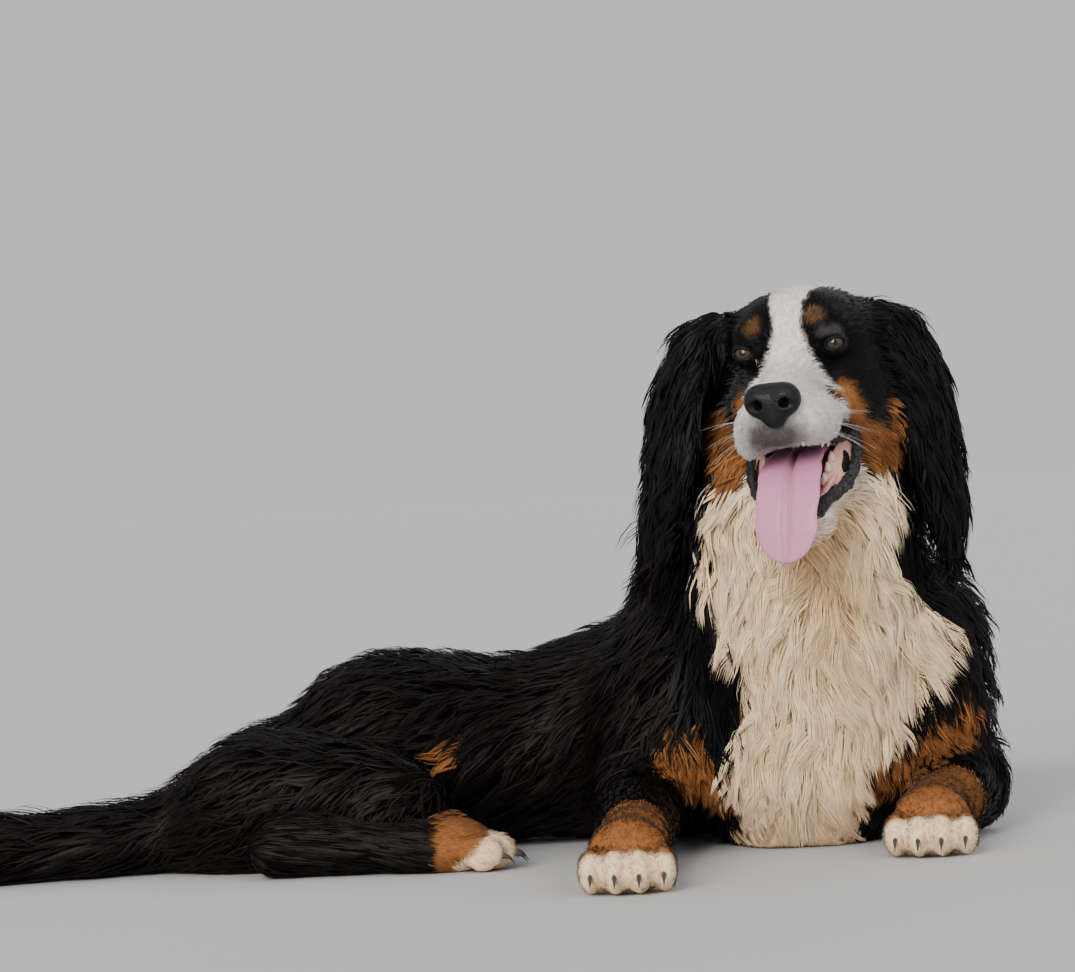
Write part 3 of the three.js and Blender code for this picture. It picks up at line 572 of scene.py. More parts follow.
def ripple(p, size):
    """Smooth noise from -1 to 1, with features of about that size."""
    turned = p @ np.array([[0.8, 0.36, -0.48], [-0.6, 0.48, -0.64], [0, 0.8, 0.6]])
    waves = np.sin(turned * (6.3 / size) + 1.7 * np.sin(p[:, [1, 2, 0]] * (4.1 / size)))
    return waves.sum(1) / 3


def inside_of(field_value, soft):
    return np.clip(0.5 - field_value / soft, 0, 1)


CHEST_HEIGHTS = [0, 43, 72, 107, 143, 170, 204, 240, 275, 320, 360]
CHEST_RIGHT_EDGE = [-73, -77, -98, -73, -71, -64, -79, -88, -98, -92, -85]
CHEST_LEFT_EDGE = [38, 46, 50, 75, 102, 125, 138, 108, 82, 95, 90]
BLAZE_PLACES = [-40, -5, 15, 28, 37, 50, 63, 80, 111, 145, 175]
BLAZE_RIGHT_EDGE = [-62, -52, -48, -42, -30, -17, -11, -11, -18, -24, -14]
BLAZE_LEFT_EDGE = [60, 48, 40, 32, 26, 19, 15, 15, 17, 21, 12]
MUZZLE_HEIGHTS = [-120, -96, -76, -52, -39, -25]
MUZZLE_BACKS = [-40, -47, -47, -62, -69, -82]
TAN_BANDS = [limb([-128, 8, 86], [-76, 20, 42], 30, 27), limb([158, 44, 106], [62, 0, 52], 31, 30)]
TAN_SPOT = ball(-350, 108, 96, 17, 22, 14)
CHEEKS = [
    limb([sign * x0, y0, z0], [sign * x1, y1, z1], start_radius, end_radius)
    for sign in SIDES.values()
    for (x0, y0, z0), (x1, y1, z1), start_radius, end_radius in [
        ((49, -60, -40), (58, -46, -82), 10, 13),
        ((62, -36, -90), (70, -10, -100), 19, 25),
        ((89, -18, -58), (84, -8, -88), 9, 13),
    ]
] + [limb([-90, -24, -62], [-74, -50, -104], 20, 19)]
BROWS = [ball(-33, -70, 31, 9, 14, 11), ball(27, -67, 37, 11, 14, 12)]
WARM_PATCH = ball(18, -10, 266, 36, 70, 46)
PHILTRUM = ball(-5, -153, -79, 31, 22, 24)
GREY_BROW = ball(47, -74, 16, 17, 14, 8)
CHEST_BACK = ([300, 370], [96, 30])
TAIL_WHITE_FROM = -890

# How far ahead of the middle of a paw its white begins and its tan begins
WHITE_FROM = {"fore": 40, "hind": 32}
TAN_FROM = {"fore": -104, "hind": -14}


def head_marks(q, noise):
    """White and tan on the head, at points of its own frame."""
    place = q[:, 2] + 0.5 * (q[:, 1] + 160)
    right = np.interp(place, BLAZE_PLACES, BLAZE_RIGHT_EDGE) - q[:, 0]
    left = q[:, 0] - np.interp(place, BLAZE_PLACES, BLAZE_LEFT_EDGE)
    blaze = np.maximum.reduce([right, left, q[:, 1] - 48 + 0.8 * np.abs(q[:, 0] + 4)])
    muzzle = np.maximum(q[:, 1] - np.interp(q[:, 2], MUZZLE_HEIGHTS, MUZZLE_BACKS), q[:, 2] + 30)
    blaze = np.maximum(blaze, -34 - q[:, 2])
    white = inside_of(melt_two(blaze, muzzle, 16) + 1.2 * noise, 6)
    cheek = np.minimum.reduce([mark(q) for mark in CHEEKS]) + 3 * noise
    brow = melt_two(BROWS[0](q), BROWS[1](q), 1) + 1.5 * noise
    return white, np.maximum(inside_of(cheek, 11), 0.66 * inside_of(brow, 9))


def behind_paw(name, p):
    """How far behind the middle of its paw each point is along the leg."""
    return -(p[:, :2] - np.array(LEGS[name]["paw"])) @ heading_of(LEGS[name])[:2]


def leg_marks(name, p):
    kind = name.split("_")[1]
    along = -behind_paw(name, p)
    wander = 5 * ripple(p, 30)
    white = inside_of(WHITE_FROM[kind] - along + 1.1 * (p[:, 2] - 26) + wander, 8)
    tan = inside_of(TAN_FROM[kind] - along + 0.5 * wander, 12)
    return white, tan


def markings(p):
    """How white and how tan the coat is at each point of the skin, each from 0 to 1."""
    share = shares_at(p)
    q = in_head(p)
    noise = ripple(p, 16)
    white_head, tan_head = head_marks(q, noise)
    edge = 7 * ripple(p, 34) + 4 * noise
    right = np.interp(p[:, 2], CHEST_HEIGHTS, CHEST_RIGHT_EDGE) - p[:, 0]
    left = p[:, 0] - np.interp(p[:, 2], CHEST_HEIGHTS, CHEST_LEFT_EDGE)
    chest = np.maximum(np.maximum(right, left) + edge, p[:, 1] - np.interp(p[:, 2], *CHEST_BACK))
    white_body = inside_of(chest, 12) * (1 - tan_head)
    tan_body = inside_of(np.minimum.reduce([mark(p) for mark in [*TAN_BANDS, TAN_SPOT]]) + 0.6 * edge, 14)
    white = share["body"] * white_body + share["head"] * white_head
    white += share["jaw"] * (1 - tan_head)
    tan = share["body"] * np.maximum(tan_body, tan_head) + (share["head"] + share["jaw"]) * tan_head
    for name in LEGS:
        white_leg, tan_leg = leg_marks(name, p)
        white += share[name] * white_leg
        tan += share[name] * tan_leg
    white += share["tail"] * inside_of(p[:, 0] - TAIL_WHITE_FROM, 24)
    return white, np.clip(tan, 0, 1) * (1 - np.clip(white, 0, 1))


def lip_width(q):
    """Bare black skin is broad along the lower lip and narrow along the upper one."""
    return np.interp(q[:, 2], [-98, -88], [10.0, 3.2])


def coat_colours(p, white, tan):
    """Linear colour of points that are white and tan by these shares, and otherwise black."""
    q = in_head(p)
    face = inside_of(-past_nape(p) - 10, 40)[:, None]
    warm = np.clip(0.3 + 0.5 * ripple(p, 60) - 0.5 * step_between(np.abs(p[:, 0] - 5), 40, 95)
                   + 0.6 * inside_of(WARM_PATCH(p), 30), 0, 1)[:, None]
    pale = CREAM * (1 - warm + WARM * warm) * (1 - face) + COOL_WHITE * face
    brown = (0.5 * step_between(p[:, 2], 360, 270) * step_between(np.abs(p[:, 0]), 112, 140))[:, None]
    dark = BLACK * (1 - brown) + BROWN_BLACK * brown
    grey_brow = inside_of(GREY_BROW(q) + 2.5 * ripple(p, 8), 9) * (1 - inside_of(eye_opening(q) - 3, 3))
    dark = dark * (1 - grey_brow[:, None]) + GREY * grey_brow[:, None]
    # Tan is painted lighter low on the front of the paws, as sunlight on their tops
    paw = 0.5 * step_between(70 - p[:, 2], 0, 30) * step_between(-p[:, 1], 20, 60)
    brow = step_between(q[:, 2], 8, 20) * face[:, 0]
    tan_tone_and_light = TAN * (1 + paw + 0.1 * ripple(p, 28))[:, None]
    tan_tone_and_light = tan_tone_and_light * (1 - brow[:, None] * [0.42, 0.24, 0.0])
    base = dark * (1 - tan[:, None]) + tan_tone_and_light * tan[:, None]
    shade = base * (1 - white[:, None]) + pale * white[:, None]
    # Darker grey below the nose: partly the grey of the lip front, partly painted shade under the nose pad
    muzzle_grey_and_shade = (inside_of(PHILTRUM(q) + 2 * ripple(p, 9), 22) ** 0.8 * 0.92)[:, None]
    return shade * (1 - muzzle_grey_and_shade) + MUZZLE_GREY * muzzle_grey_and_shade


# Materials


def new_material(name):
    material = bpy.data.materials.new(name)
    material.use_nodes = True
    nodes = material.node_tree.nodes
    return material, nodes, material.node_tree.links, nodes["Principled BSDF"]


def set_sockets(node, **values):
    for name, value in values.items():
        node.inputs[name.replace("_", " ")].default_value = value


def add_node(nodes, kind, **values):
    node = nodes.new(kind)
    set_sockets(node, **values)
    return node


def add_bump(nodes, links, shader, height, strength, distance):
    bump = add_node(nodes, "ShaderNodeBump", Strength=strength, Distance=distance)
    links.new(height, bump.inputs["Height"])
    links.new(bump.outputs["Normal"], shader.inputs["Normal"])


def attribute_material(name, noise_scale, detail, noise_range, streak):
    """Colour from the coat attribute, made lighter and darker by noise."""
    material, nodes, links, shader = new_material(name)
    attribute = nodes.new("ShaderNodeAttribute")
    attribute.attribute_name = "coat"
    place = nodes.new("ShaderNodeTexCoord")
    noise = add_node(nodes, "ShaderNodeTexNoise", Scale=noise_scale, Detail=detail)
    links.new(place.outputs["Object"], noise.inputs["Vector"])
    low, high = noise_range
    spread = add_node(
        nodes, "ShaderNodeMapRange", From_Min=low, From_Max=high, To_Min=1 - streak, To_Max=1 + streak)
    links.new(noise.outputs["Fac"], spread.inputs["Value"])
    varied = nodes.new("ShaderNodeVectorMath")
    varied.operation = "SCALE"
    links.new(attribute.outputs["Color"], varied.inputs[0])
    links.new(spread.outputs["Result"], varied.inputs["Scale"])
    links.new(varied.outputs["Vector"], shader.inputs["Base Color"])
    return material, nodes, links, shader, noise


def coat_material(name, roughness, specular, sheen, streak):
    """Hair: fine streaks of lighter and darker colour, with a fine grain."""
    material, nodes, links, shader, noise = attribute_material(name, 900, 2, (0.3, 0.7), streak)
    add_bump(nodes, links, shader, noise.outputs["Fac"], 0.25, 0.0006)
    set_sockets(shader, Roughness=roughness, Specular_IOR_Level=specular)
    set_sockets(shader, Sheen_Weight=sheen, Sheen_Roughness=0.4)
    return material


def eye_material(name):
    """A clear, hard and moist surface over the colours of the eye."""
    material, _, _, shader, _ = attribute_material(name, 900, 3, (0, 1), 0.15)
    set_sockets(shader, Roughness=0.09, Coat_Weight=0.2, Coat_Roughness=0.02, Specular_IOR_Level=0.3)
    return material


def wet_material(name, colour, second, roughness, scale, bump_strength, coat=0.3, specular=0.5, contrast=1.0):
    """Soft bare skin: two mottled colours, a pebbled bump and a moist coat. On the lips, the lighter colour
    in sharp specks is painted wet glints.
    """
    material, nodes, links, shader = new_material(name)
    place = nodes.new("ShaderNodeTexCoord")
    mottle = add_node(nodes, "ShaderNodeTexNoise", Scale=scale * 0.25, Detail=5)
    pebble = add_node(nodes, "ShaderNodeTexVoronoi", Scale=scale)
    links.new(place.outputs["Object"], mottle.inputs["Vector"])
    links.new(place.outputs["Object"], pebble.inputs["Vector"])
    mix = nodes.new("ShaderNodeMix")
    mix.data_type = "RGBA"
    set_sockets(mix, A=(*colour, 1), B=(*second, 1))
    half = 0.5 / contrast
    spread = add_node(nodes, "ShaderNodeMapRange", From_Min=0.5 - half, From_Max=0.5 + half)
    links.new(mottle.outputs["Fac"], spread.inputs["Value"])
    links.new(spread.outputs["Result"], mix.inputs["Factor"])
    links.new(mix.outputs["Result"], shader.inputs["Base Color"])
    add_bump(nodes, links, shader, pebble.outputs["Distance"], bump_strength, 0.0008)
    set_sockets(shader, Roughness=roughness, Specular_IOR_Level=specular)
    set_sockets(shader, Coat_Weight=coat, Coat_Roughness=0.15)
    return material


skin_material = coat_material("skin", 0.85, 0.05, 0.0, 0.3)
coat_materials = {
    "black": coat_material("coat_black", 0.5, 0.13, 0.0, 0.25),
    "white": coat_material("coat_white", 0.7, 0.2, 0.15, 0.06),
    "tan": coat_material("coat_tan", 0.85, 0.06, 0.05, 0.2),
}
# The lips' lighter specks are painted wet glints on black skin
lip_skin_with_painted_glints = wet_material(
    "lip_skin", (0.003, 0.0028, 0.003), (0.045, 0.039, 0.043), 0.4, 1500, 0.9, 0.15, 0.3, 6)
lid_skin = wet_material(
    "lid_skin", (0.0016, 0.0015, 0.0016), (0.003, 0.003, 0.003), 0.5, 900, 0.4, 0.05, 0.15)
nose_skin = wet_material(
    "nose_skin", (0.0025, 0.0025, 0.003), (0.008, 0.008, 0.010), 0.44, 760, 0.7, 0.08, 0.22, 2.5)
tongue_skin = wet_material("tongue_skin", (0.55, 0.20, 0.345), (0.66, 0.29, 0.44), 0.45, 1500, 0.6, 0.15)
cheek_skin = wet_material("cheek_skin", (0.74, 0.34, 0.28), (0.84, 0.46, 0.38), 0.4, 1200, 0.4)
tooth_enamel = wet_material("tooth_enamel", (0.66, 0.58, 0.40), (0.76, 0.70, 0.54), 0.3, 500, 0.05, 0.4)
claw_horn = wet_material("claw_horn", (0.012, 0.010, 0.009), (0.06, 0.047, 0.037), 0.35, 700, 0.2, 0.2)
eye_surface = eye_material("eye_surface")


def finish_piece(obj, material, replaced=()):
    obj.data.materials.append(material)
    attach(obj, "root")
    if replaced:
        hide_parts(*replaced)
    return obj


# The skin, in a fine part for the head and a coarser one for the rest, which overlap inside the nape

HEAD_BOX = ([-150, -190, 240], [190, 215, 580])
BODY_BOX = ([-990, -340, -140], [270, 470, 560])
NAPE_OVERLAP = 14
EAR_OVERLAP = 40

# The mouth is pink below and painted dark with shade at its roof: heights, and shares of the pink
MOUTH_ROOF_SHADE = ([-100, -90], [1, 0.06])


def head_part(p):
    overlap = NAPE_OVERLAP + EAR_OVERLAP * step_between(np.abs(p[:, 0]), 80, 100)
    return np.maximum(skin_field(p), -past_nape(p) - overlap)


def body_part(p):
    return np.maximum(skin_field(p), past_nape(p) - NAPE_OVERLAP)


head_points, head_quads = polygonise(head_part, *HEAD_BOX, HEAD_CELL)
body_points, body_quads = polygonise(body_part, *BODY_BOX, BODY_CELL)
coarse_points = np.concatenate([head_points, body_points])
coarse_quads = np.concatenate([head_quads, body_quads + len(head_points)])
coarse_uvs = unwrap(coarse_points, coarse_quads)
skin_points, skin_quads, skin_uvs = subdivide(coarse_points, coarse_quads, coarse_uvs)
skin_points = settle(skin_field, skin_points)
skin_points[:, 2] = np.maximum(skin_points[:, 2], LOWEST)
white, tan = markings(skin_points)
skin_share = shares_at(skin_points)
# The skin takes the coat's colour above it, painted darker under long dark and tan coat as shade under the
# hair
under_long = skin_share["body"] + skin_share["tail"] + skin_share["right_ear"] + skin_share["left_ear"]
skin_colours = coat_colours(skin_points, white, tan) * (0.95 - 0.35 * under_long * (1 - white))[:, None]
skin_in_head = in_head(skin_points)
from_mouth = mouth_field(skin_in_head)
lip_band = inside_of(from_mouth - lip_width(skin_in_head), 2)[:, None]
in_mouth = inside_of(from_mouth - 0.8, 1.2)[:, None]
# Pink inside the mouth, painted dark towards its roof as shade
mouth_colour_and_shade = MOUTH_PINK * np.interp(skin_in_head[:, 2], *MOUTH_ROOF_SHADE)[:, None]
skin_colours = skin_colours * (1 - lip_band) + LIP_BLACK * lip_band
skin_colours = skin_colours * (1 - in_mouth) + mouth_colour_and_shade * in_mouth
skin = make_object("skin", skin_points, skin_quads, colours=skin_colours, corner_uvs=skin_uvs)
PAIRED = ["ear", "upper_arm", "forearm", "forepaw", "thigh", "shank", "hind_paw"]
FLESH = [
    "head", "lower_jaw", "neck", "chest", "barrel", "rump", "tail_base", "tail_end",
    *[f"{side}_{name}" for side in SIDES for name in PAIRED],
]
finish_piece(skin, skin_material, FLESH)


# Coat: what grows at each root


def body_lie(p):
    """Back along the trunk and down its sides, and down the front of the chest."""
    x = p[:, 0]
    turn = np.where(x > -250, np.interp(-x, [60, 250], [115, 180]), np.interp(-x, [250, 550], [180, 205]))
    angle = np.radians(turn)
    back = columns(np.cos(angle), np.sin(angle), -0.6)
    down = columns((x + 8) / 230 + 0.8 * ripple(p, 95), -0.1, -1.0)
    blend = step_between(p[:, 1], 40, 150)[:, None]
    return unit(down * (1 - blend) + back * blend)


def ear_low(p):
    """From 0 near the top of an ear to 1 near its tip."""
    return step_between(-p[:, 2], -420, -330)


def lie_at(p, share):
    """The way that the coat lies: away from the nose and the chin, and down the legs, ears and tail."""
    q = in_head(p)
    face = unit(q - np.array([0, -178, -36]) + np.array([0, 0, -18]))
    chin = unit(q - np.array([0, -128, -168]) + np.array([0, 20, 0]))
    lies = {"body": body_lie(p), "head": face @ HEAD.T, "jaw": chin @ HEAD.T}
    for name, leg in LEGS.items():
        tip = np.array([*leg["paw"], 10]) + heading_of(leg) * leg["width"]
        lies[name] = unit(tip - p)
    lies["tail"] = unit(np.array([-1, -0.25, -0.15]))
    lies["right_ear"] = unit(columns(-0.2 - 0.5 * ear_low(p), 0.0, -1.0))
    lies["left_ear"] = unit(np.array([0.12, 0.05, -1]))
    return unit(sum(share[name][:, None] * lies[name] for name in GROUPS))


def blend_by(share, sizes):
    return sum(share[name] * sizes.get(name, sizes["other"]) for name in GROUPS)


def growth(p, share):
    """Length, width, waviness, clumping and layers of the tufts rooted at each point."""
    q = in_head(p)
    front = 1 - step_between(p[:, 1], 60, 190)
    nape = step_between(-past_nape(p), -10, 60)
    band = inside_of(np.minimum(TAN_BANDS[0](p), TAN_BANDS[1](p)) - 14, 24)
    lower_down = 0.7 + 0.3 * step_between(p[:, 2], 5, 70)
    body_length = (TRUNK_HAIR + CHEST_HAIR_MORE * front) * (0.4 + 0.6 * nape) * lower_down
    body_length = body_length * (1 - 0.62 * band)
    head_length = FACE_HAIR + 2.8 * step_between(q[:, 1], -120, -30) + 9 * step_between(q[:, 1], -5, 70)
    head_length = head_length + 9 * step_between(-q[:, 2], 50, 120) * step_between(q[:, 1], -45, 5)
    length = blend_by(share, {
        "body": body_length,
        "head": head_length,
        "jaw": 9 + 7 * step_between(-q[:, 2], 140, 170) + 12 * step_between(q[:, 1], -70, -10),
        "tail": TAIL_HAIR - 26 * step_between(-p[:, 0], 820, 900),
        "right_ear": EAR_HAIR["right"] + 14 * ear_low(p),
        "left_ear": EAR_HAIR["left"],
        "other": PAW_HAIR,
    })
    for name in LEGS:
        longer, start, end = LEG_HAIR[name.split("_")[1]]
        length = length + share[name] * longer * step_between(behind_paw(name, p), start, end)
    pale = markings(p)[0] * front
    fine = blend_by(share, {
        "body": 0.06 + 0.94 * np.maximum(pale, 0.5 * band), "right_ear": 0.22, "left_ear": 0.22, "other": 0.0,
    })
    width = np.interp(length, *WIDTH_BY_LENGTH) * (1 - 0.6 * fine)
    layers = np.interp(length, *LAYERS_BY_LENGTH) + FINE_LAYERS * fine * (length > 16)
    wave = blend_by(share, {
        "body": 2.0 + 4.0 * front, "tail": 3.0, "right_ear": 5.0, "left_ear": 5.0, "head": 0.0, "other": 0.3,
    })
    clump = blend_by(share, {
        "body": 0.7 - 0.1 * front, "tail": 0.75, "right_ear": 0.8, "left_ear": 0.8, "head": 0.2, "other": 0.2,
    })
    return length, width, wave, clump, layers


# The lips, the eyes and the nose pad grow no hair
BARE = [
    lambda q: mouth_field(q) - lip_width(q),
    lambda q: eye_opening(q) - 0.9,
    ball(*(NOSE_AT + [0, 0, 2]), 26, 18, 18),
]


def roots_on(points, quads, uvs, under):
    """Roots spread at random over the skin as thickly as its part needs, with their place on the unwrap."""
    corner = points[quads]
    normal = np.cross(corner[:, 2] - corner[:, 0], corner[:, 3] - corner[:, 1])
    area = np.linalg.norm(normal, axis=1) / 2
    middle = corner.mean(1)
    length, width, _, _, layers = growth(middle, shares_at(middle))
    if under:
        density = UNDER_LAYERS / (length * width * UNDER_WIDTH) * (length > FREE_LENGTH)
    else:
        density = layers / (length * width) * 1.0
    head_side = past_nape(middle) > 0
    from_head_part = np.arange(len(quads)) < len(head_quads)
    density = np.where(head_side == from_head_part, density, 0)
    owner = np.repeat(np.arange(len(quads)), rng.poisson(area * density))
    s, t = rng.random(len(owner)), rng.random(len(owner))
    weights = np.stack([(1 - s) * (1 - t), s * (1 - t), s * t, (1 - s) * t], 1)
    place = (corner[owner] * weights[:, :, None]).sum(1)
    uv = (uvs[owner] * weights[:, :, None]).sum(1)
    place = settle(skin_field, place, 2)
    q = in_head(place)
    bare = np.minimum.reduce([region(q) for region in BARE]) < 0
    keep = ~bare & (place[:, 2] > 3)
    return place[keep], uv[keep]


def locks_of(roots, size):
    """The lock that each root belongs to, the root that leads that lock, and the number of locks."""
    leaders = np.unique(np.floor(roots / size), axis=0, return_index=True)[1]
    tree = kdtree.KDTree(len(leaders))
    for n, leader in enumerate(leaders):
        tree.insert(roots[leader], n)
    tree.balance()
    lock = np.array([tree.find(root)[1] for root in roots])
    return lock, leaders[lock], len(leaders)


def comb(roots, length, wave, clump, segments, lock_size, depth):
    """Lines that leave the skin at their roots and follow the coat's outer surface along the lie, in locks.

    depth is how far below that surface the tips stay, in shares of the coat."""
    count = len(roots)
    rise = coat_inset(roots, group_values(roots))
    lock, leader, total = locks_of(roots, lock_size)
    phase = rng.uniform(0, 2 * math.pi, total)[lock] + rng.normal(0, 0.3, count)
    swing = rng.normal(0, 0.05, total)[lock] * wave
    length = length * rng.uniform(0.85, 1.1, total)[lock]
    sink = depth + 0.2 * (length < SHORT_BELOW)
    tip = (rng.uniform(-0.5, 0.16, total)[lock] + rng.normal(0, 0.06, count) - sink) * rise
    tip += wave * rng.uniform(0, 1, total)[lock] + rng.normal(0, 1.0, count) * (length / 70)
    line = np.empty((segments + 1, count, 3))
    outs = np.empty((segments + 1, count, 3))
    p, way = roots.copy(), np.zeros((count, 3))
    for k in range(segments + 1):
        distance, out = slope_of(outer_field, p)
        along = k / segments
        free = (along >= FREE_FROM) & (length > FREE_LENGTH)
        level = -rise + (rise + tip) * min(1, along / 0.7) ** 0.8
        p = p + out * np.clip(level - distance, np.where(free, 0, -6), 6)[:, None]
        line[k], outs[k] = p, out
        lie = lie_at(p, shares_at(p))
        flow = unit(lie - (lie * out).sum(1)[:, None] * out)
        side = np.cross(out, flow)
        turn = swing + wave / 12 * np.cos(phase + 6.3 * along * length / 64) + rng.normal(0, 0.06, count)
        way = unit(flow + side * turn[:, None] + free[:, None] * (1.6 * way - [0, 0, 0.15]))
        p = p + way * (length / segments)[:, None]
    line[0] = roots - outs[0] * 1.0
    side = unit(np.cross(outs, unit(np.gradient(line, axis=0))))
    offset = line[:, leader] - line
    lean = np.clip((offset * side).sum(2) / (lock_size * 0.7), -1, 1)
    strength = np.minimum(0.97, clump * rng.uniform(0.6, 1.15, count))
    pull = strength[:, None] * (np.arange(segments + 1) / segments) ** 1.2
    near = np.linalg.norm(offset, axis=2) < 30
    line = line + offset * pull.T[:, :, None] * near[:, :, None]
    sunk = np.maximum(0, LOWEST + 0.5 - line[:, :, 2])
    line[:, :, :2] += outs[0, :, :2] * (0.8 * sunk)[:, :, None]
    line[:, :, 2] = np.maximum(line[:, :, 2], LOWEST + rng.uniform(0, 4, count))
    return line, unit(outs - side * (0.65 * lean)[:, :, None]), lock, total


def ring_mesh(rings, around):
    """Quads between rings of points that close round their axis, for rings * around points."""
    k = np.arange(rings - 1)[:, None] * around
    n = np.arange(around)
    after = (n + 1) % around
    return np.stack([k + n, k + after, k + around + after, k + around + n], -1).reshape(-1, 4)


def tuft_mesh(line, outs, width, colours, uv, softness, painted_root_shade):
    """Closed, tapered blades with three sides; one patch of the unwrap for each."""
    rings, count = len(line) - 1, line.shape[1]
    tangent = unit(np.gradient(line, axis=0))
    side = unit(np.cross(outs, tangent))
    profile = np.interp(np.arange(rings) / rings, [0, 0.3, 0.7, 1], [0.9, 1.0, 0.72, 0.3])
    half = profile[:, None, None] * width[None, :, None] / 2
    points = np.empty((count, rings * 3 + 1, 3))
    normals = np.empty_like(points)
    for m, (across, up) in enumerate([(1, 0), (0, 0.4), (-1, 0)]):
        ring = line[:-1] + side[:-1] * half * across + outs[:-1] * half * up
        points[:, m:-1:3] = ring.transpose(1, 0, 2)
        own = outs[:-1] * (softness + 0.4 * up) + side[:-1] * across * (1 - softness)
        normals[:, m:-1:3] = own.transpose(1, 0, 2)
    points[:, -1] = line[-1]
    normals[:, -1] = outs[-1]
    points[:, :, 2] = np.maximum(points[:, :, 2], LOWEST)
    quads = ring_mesh(rings, 3)
    m = np.arange(3)
    last = (rings - 1) * 3
    at_tip = np.stack([last + m, last + (m + 1) % 3, np.full(3, rings * 3)], 1)
    triangles = np.concatenate([at_tip, [[2, 1, 0]]])
    starts = (np.arange(count) * (rings * 3 + 1))[:, None, None]
    patch = np.stack([
        np.append(np.tile([-1, 0, 1], rings), 0) * PATCH_HALF_WIDTH,
        (np.append(np.repeat(np.arange(rings) / rings, 3), 1) - 0.5) * PATCH_LENGTH,
    ], 1)
    corner_uvs = np.concatenate([
        (uv[:, None, None] + patch[faces]).reshape(-1, 2) for faces in (quads, triangles)
    ])
    # Colours are painted darker towards the roots as shade between the hairs, and a little lighter at the
    # tips as painted light
    tipward = np.append(np.repeat(np.interp(np.arange(rings) / rings, [0, 0.6, 1], [0, 0.85, 1.1]), 3), 1.15)
    shade = painted_root_shade + (1 - painted_root_shade) * tipward[:, None]
    all_colours = colours[:, None] * shade[None]
    return (
        points.reshape(-1, 3), (quads + starts).reshape(-1, 4), (triangles + starts).reshape(-1, 3),
        all_colours.reshape(-1, 3), corner_uvs, unit(normals.reshape(-1, 3)),
    )


def grow_coat(kind, segments, roots, uv, sizes, lock_size, depth=0.0):
    """Coat of one length class, in pieces of one marking that stay small enough."""
    length, width, wave, clump = sizes
    length = length * rng.uniform(0.75, 1.15, len(length))
    line, outs, lock, total = comb(roots, length, wave, clump, segments, lock_size, depth)
    middle = (line[1] + line[min(2, segments)]) / 2
    white, tan = markings(middle)
    is_white = white > rng.uniform(0.3, 0.7, len(roots))
    is_tan = ~is_white & (tan > rng.uniform(0.3, 0.7, len(roots)))
    colours = coat_colours(middle, is_white.astype(float), is_tan.astype(float))
    spread = np.where(is_white, 0.05, 0.16)
    own, shared = rng.normal(0, 1, len(roots)), rng.normal(0, 1, total)[lock]
    colours = colours * np.exp((own + shared) * spread)[:, None]
    class_of = np.where(is_white, "white", np.where(is_tan, "tan", "black"))
    most = MOST_TRIANGLES // (6 * (segments - 1) + 4)
    for name, material in coat_materials.items():
        members = np.flatnonzero(class_of == name)
        members = members[np.argsort(roots[members, 0])]
        for n in range(0, len(members), most):
            part = members[n : n + most]
            mesh = tuft_mesh(line[:, part], outs[:, part], width[part], colours[part], uv[part],
                             SOFTNESS[name], ROOT_PAINTED_SHADE[name])
            piece = make_object(f"coat_{kind}_{name}_{n // most}", *mesh)
            finish_piece(piece, material)


def rooted(under):
    """Roots, their uvs, and the length, width, waviness and clumping of what grows there."""
    roots, uvs = roots_on(coarse_points, coarse_quads, coarse_uvs, under)
    return roots, uvs, growth(roots, shares_at(roots))[:4]


roots, root_uvs, root_sizes = rooted(False)
length, _, wave, _ = root_sizes
long = length >= LONG_FROM
wavy = wave > 3
kinds = [
    ("short", length < SHORT_BELOW, 1, 7),
    ("middle", (length >= SHORT_BELOW) & ~long, 3, 9),
    ("long", long & ~wavy, 3, 13),
    ("wavy", long & wavy, 4, 14),
]
for kind, chosen, segments, lock_size in kinds:
    chosen_sizes = [size[chosen] for size in root_sizes]
    grow_coat(kind, segments, roots[chosen], root_uvs[chosen], chosen_sizes, lock_size)
roots, root_uvs, (length, width, wave, clump) = rooted(True)
under_sizes = length, width * UNDER_WIDTH, wave * 0.6, clump * 0.3
grow_coat("under", 3, roots, root_uvs, under_sizes, 20, UNDER_DEPTH)


# Whiskers

WHISKERS = 12
WHISKER_WIDTH = 0.42


def whiskers(sign, name):
    """Three rows of stiff hairs that bend down a little."""
    n = np.arange(WHISKERS)
    start = columns(sign * (36 + 2.0 * (n % 3)), -128 + 9.0 * (n // 3), -60 - 8.0 * (n % 3))
    spread = columns(sign * (1 + 0.1 * (n % 2)), 0.1 + 0.16 * (n // 3), 0.12 - 0.28 * (n % 3))
    reach = unit(spread) * (34 + 5.0 * (n * 5 % 4))[:, None]
    t = np.linspace(0, 1, 8)[:, None, None]
    line = from_head((start + reach * t + [0, 0, -9] * t**2).reshape(-1, 3)).reshape(8, WHISKERS, 3)
    outs = np.broadcast_to(unit(np.array([0.3 * sign, -0.3, 1.0])), line.shape)
    colours, uv = np.tile(COOL_WHITE, (WHISKERS, 1)), np.full((WHISKERS, 2), 0.5)
    mesh = tuft_mesh(line, outs, np.full(WHISKERS, WHISKER_WIDTH), colours, uv, 0.5, np.ones(3))
    finish_piece(make_object(name, *mesh), coat_materials["white"])


for side, sign in SIDES.items():
    whiskers(sign, f"{side}_whiskers")


# Eyes: a ball whose rings stand round its gaze, with pupil, iris and dark rim. Angles are from the gaze.

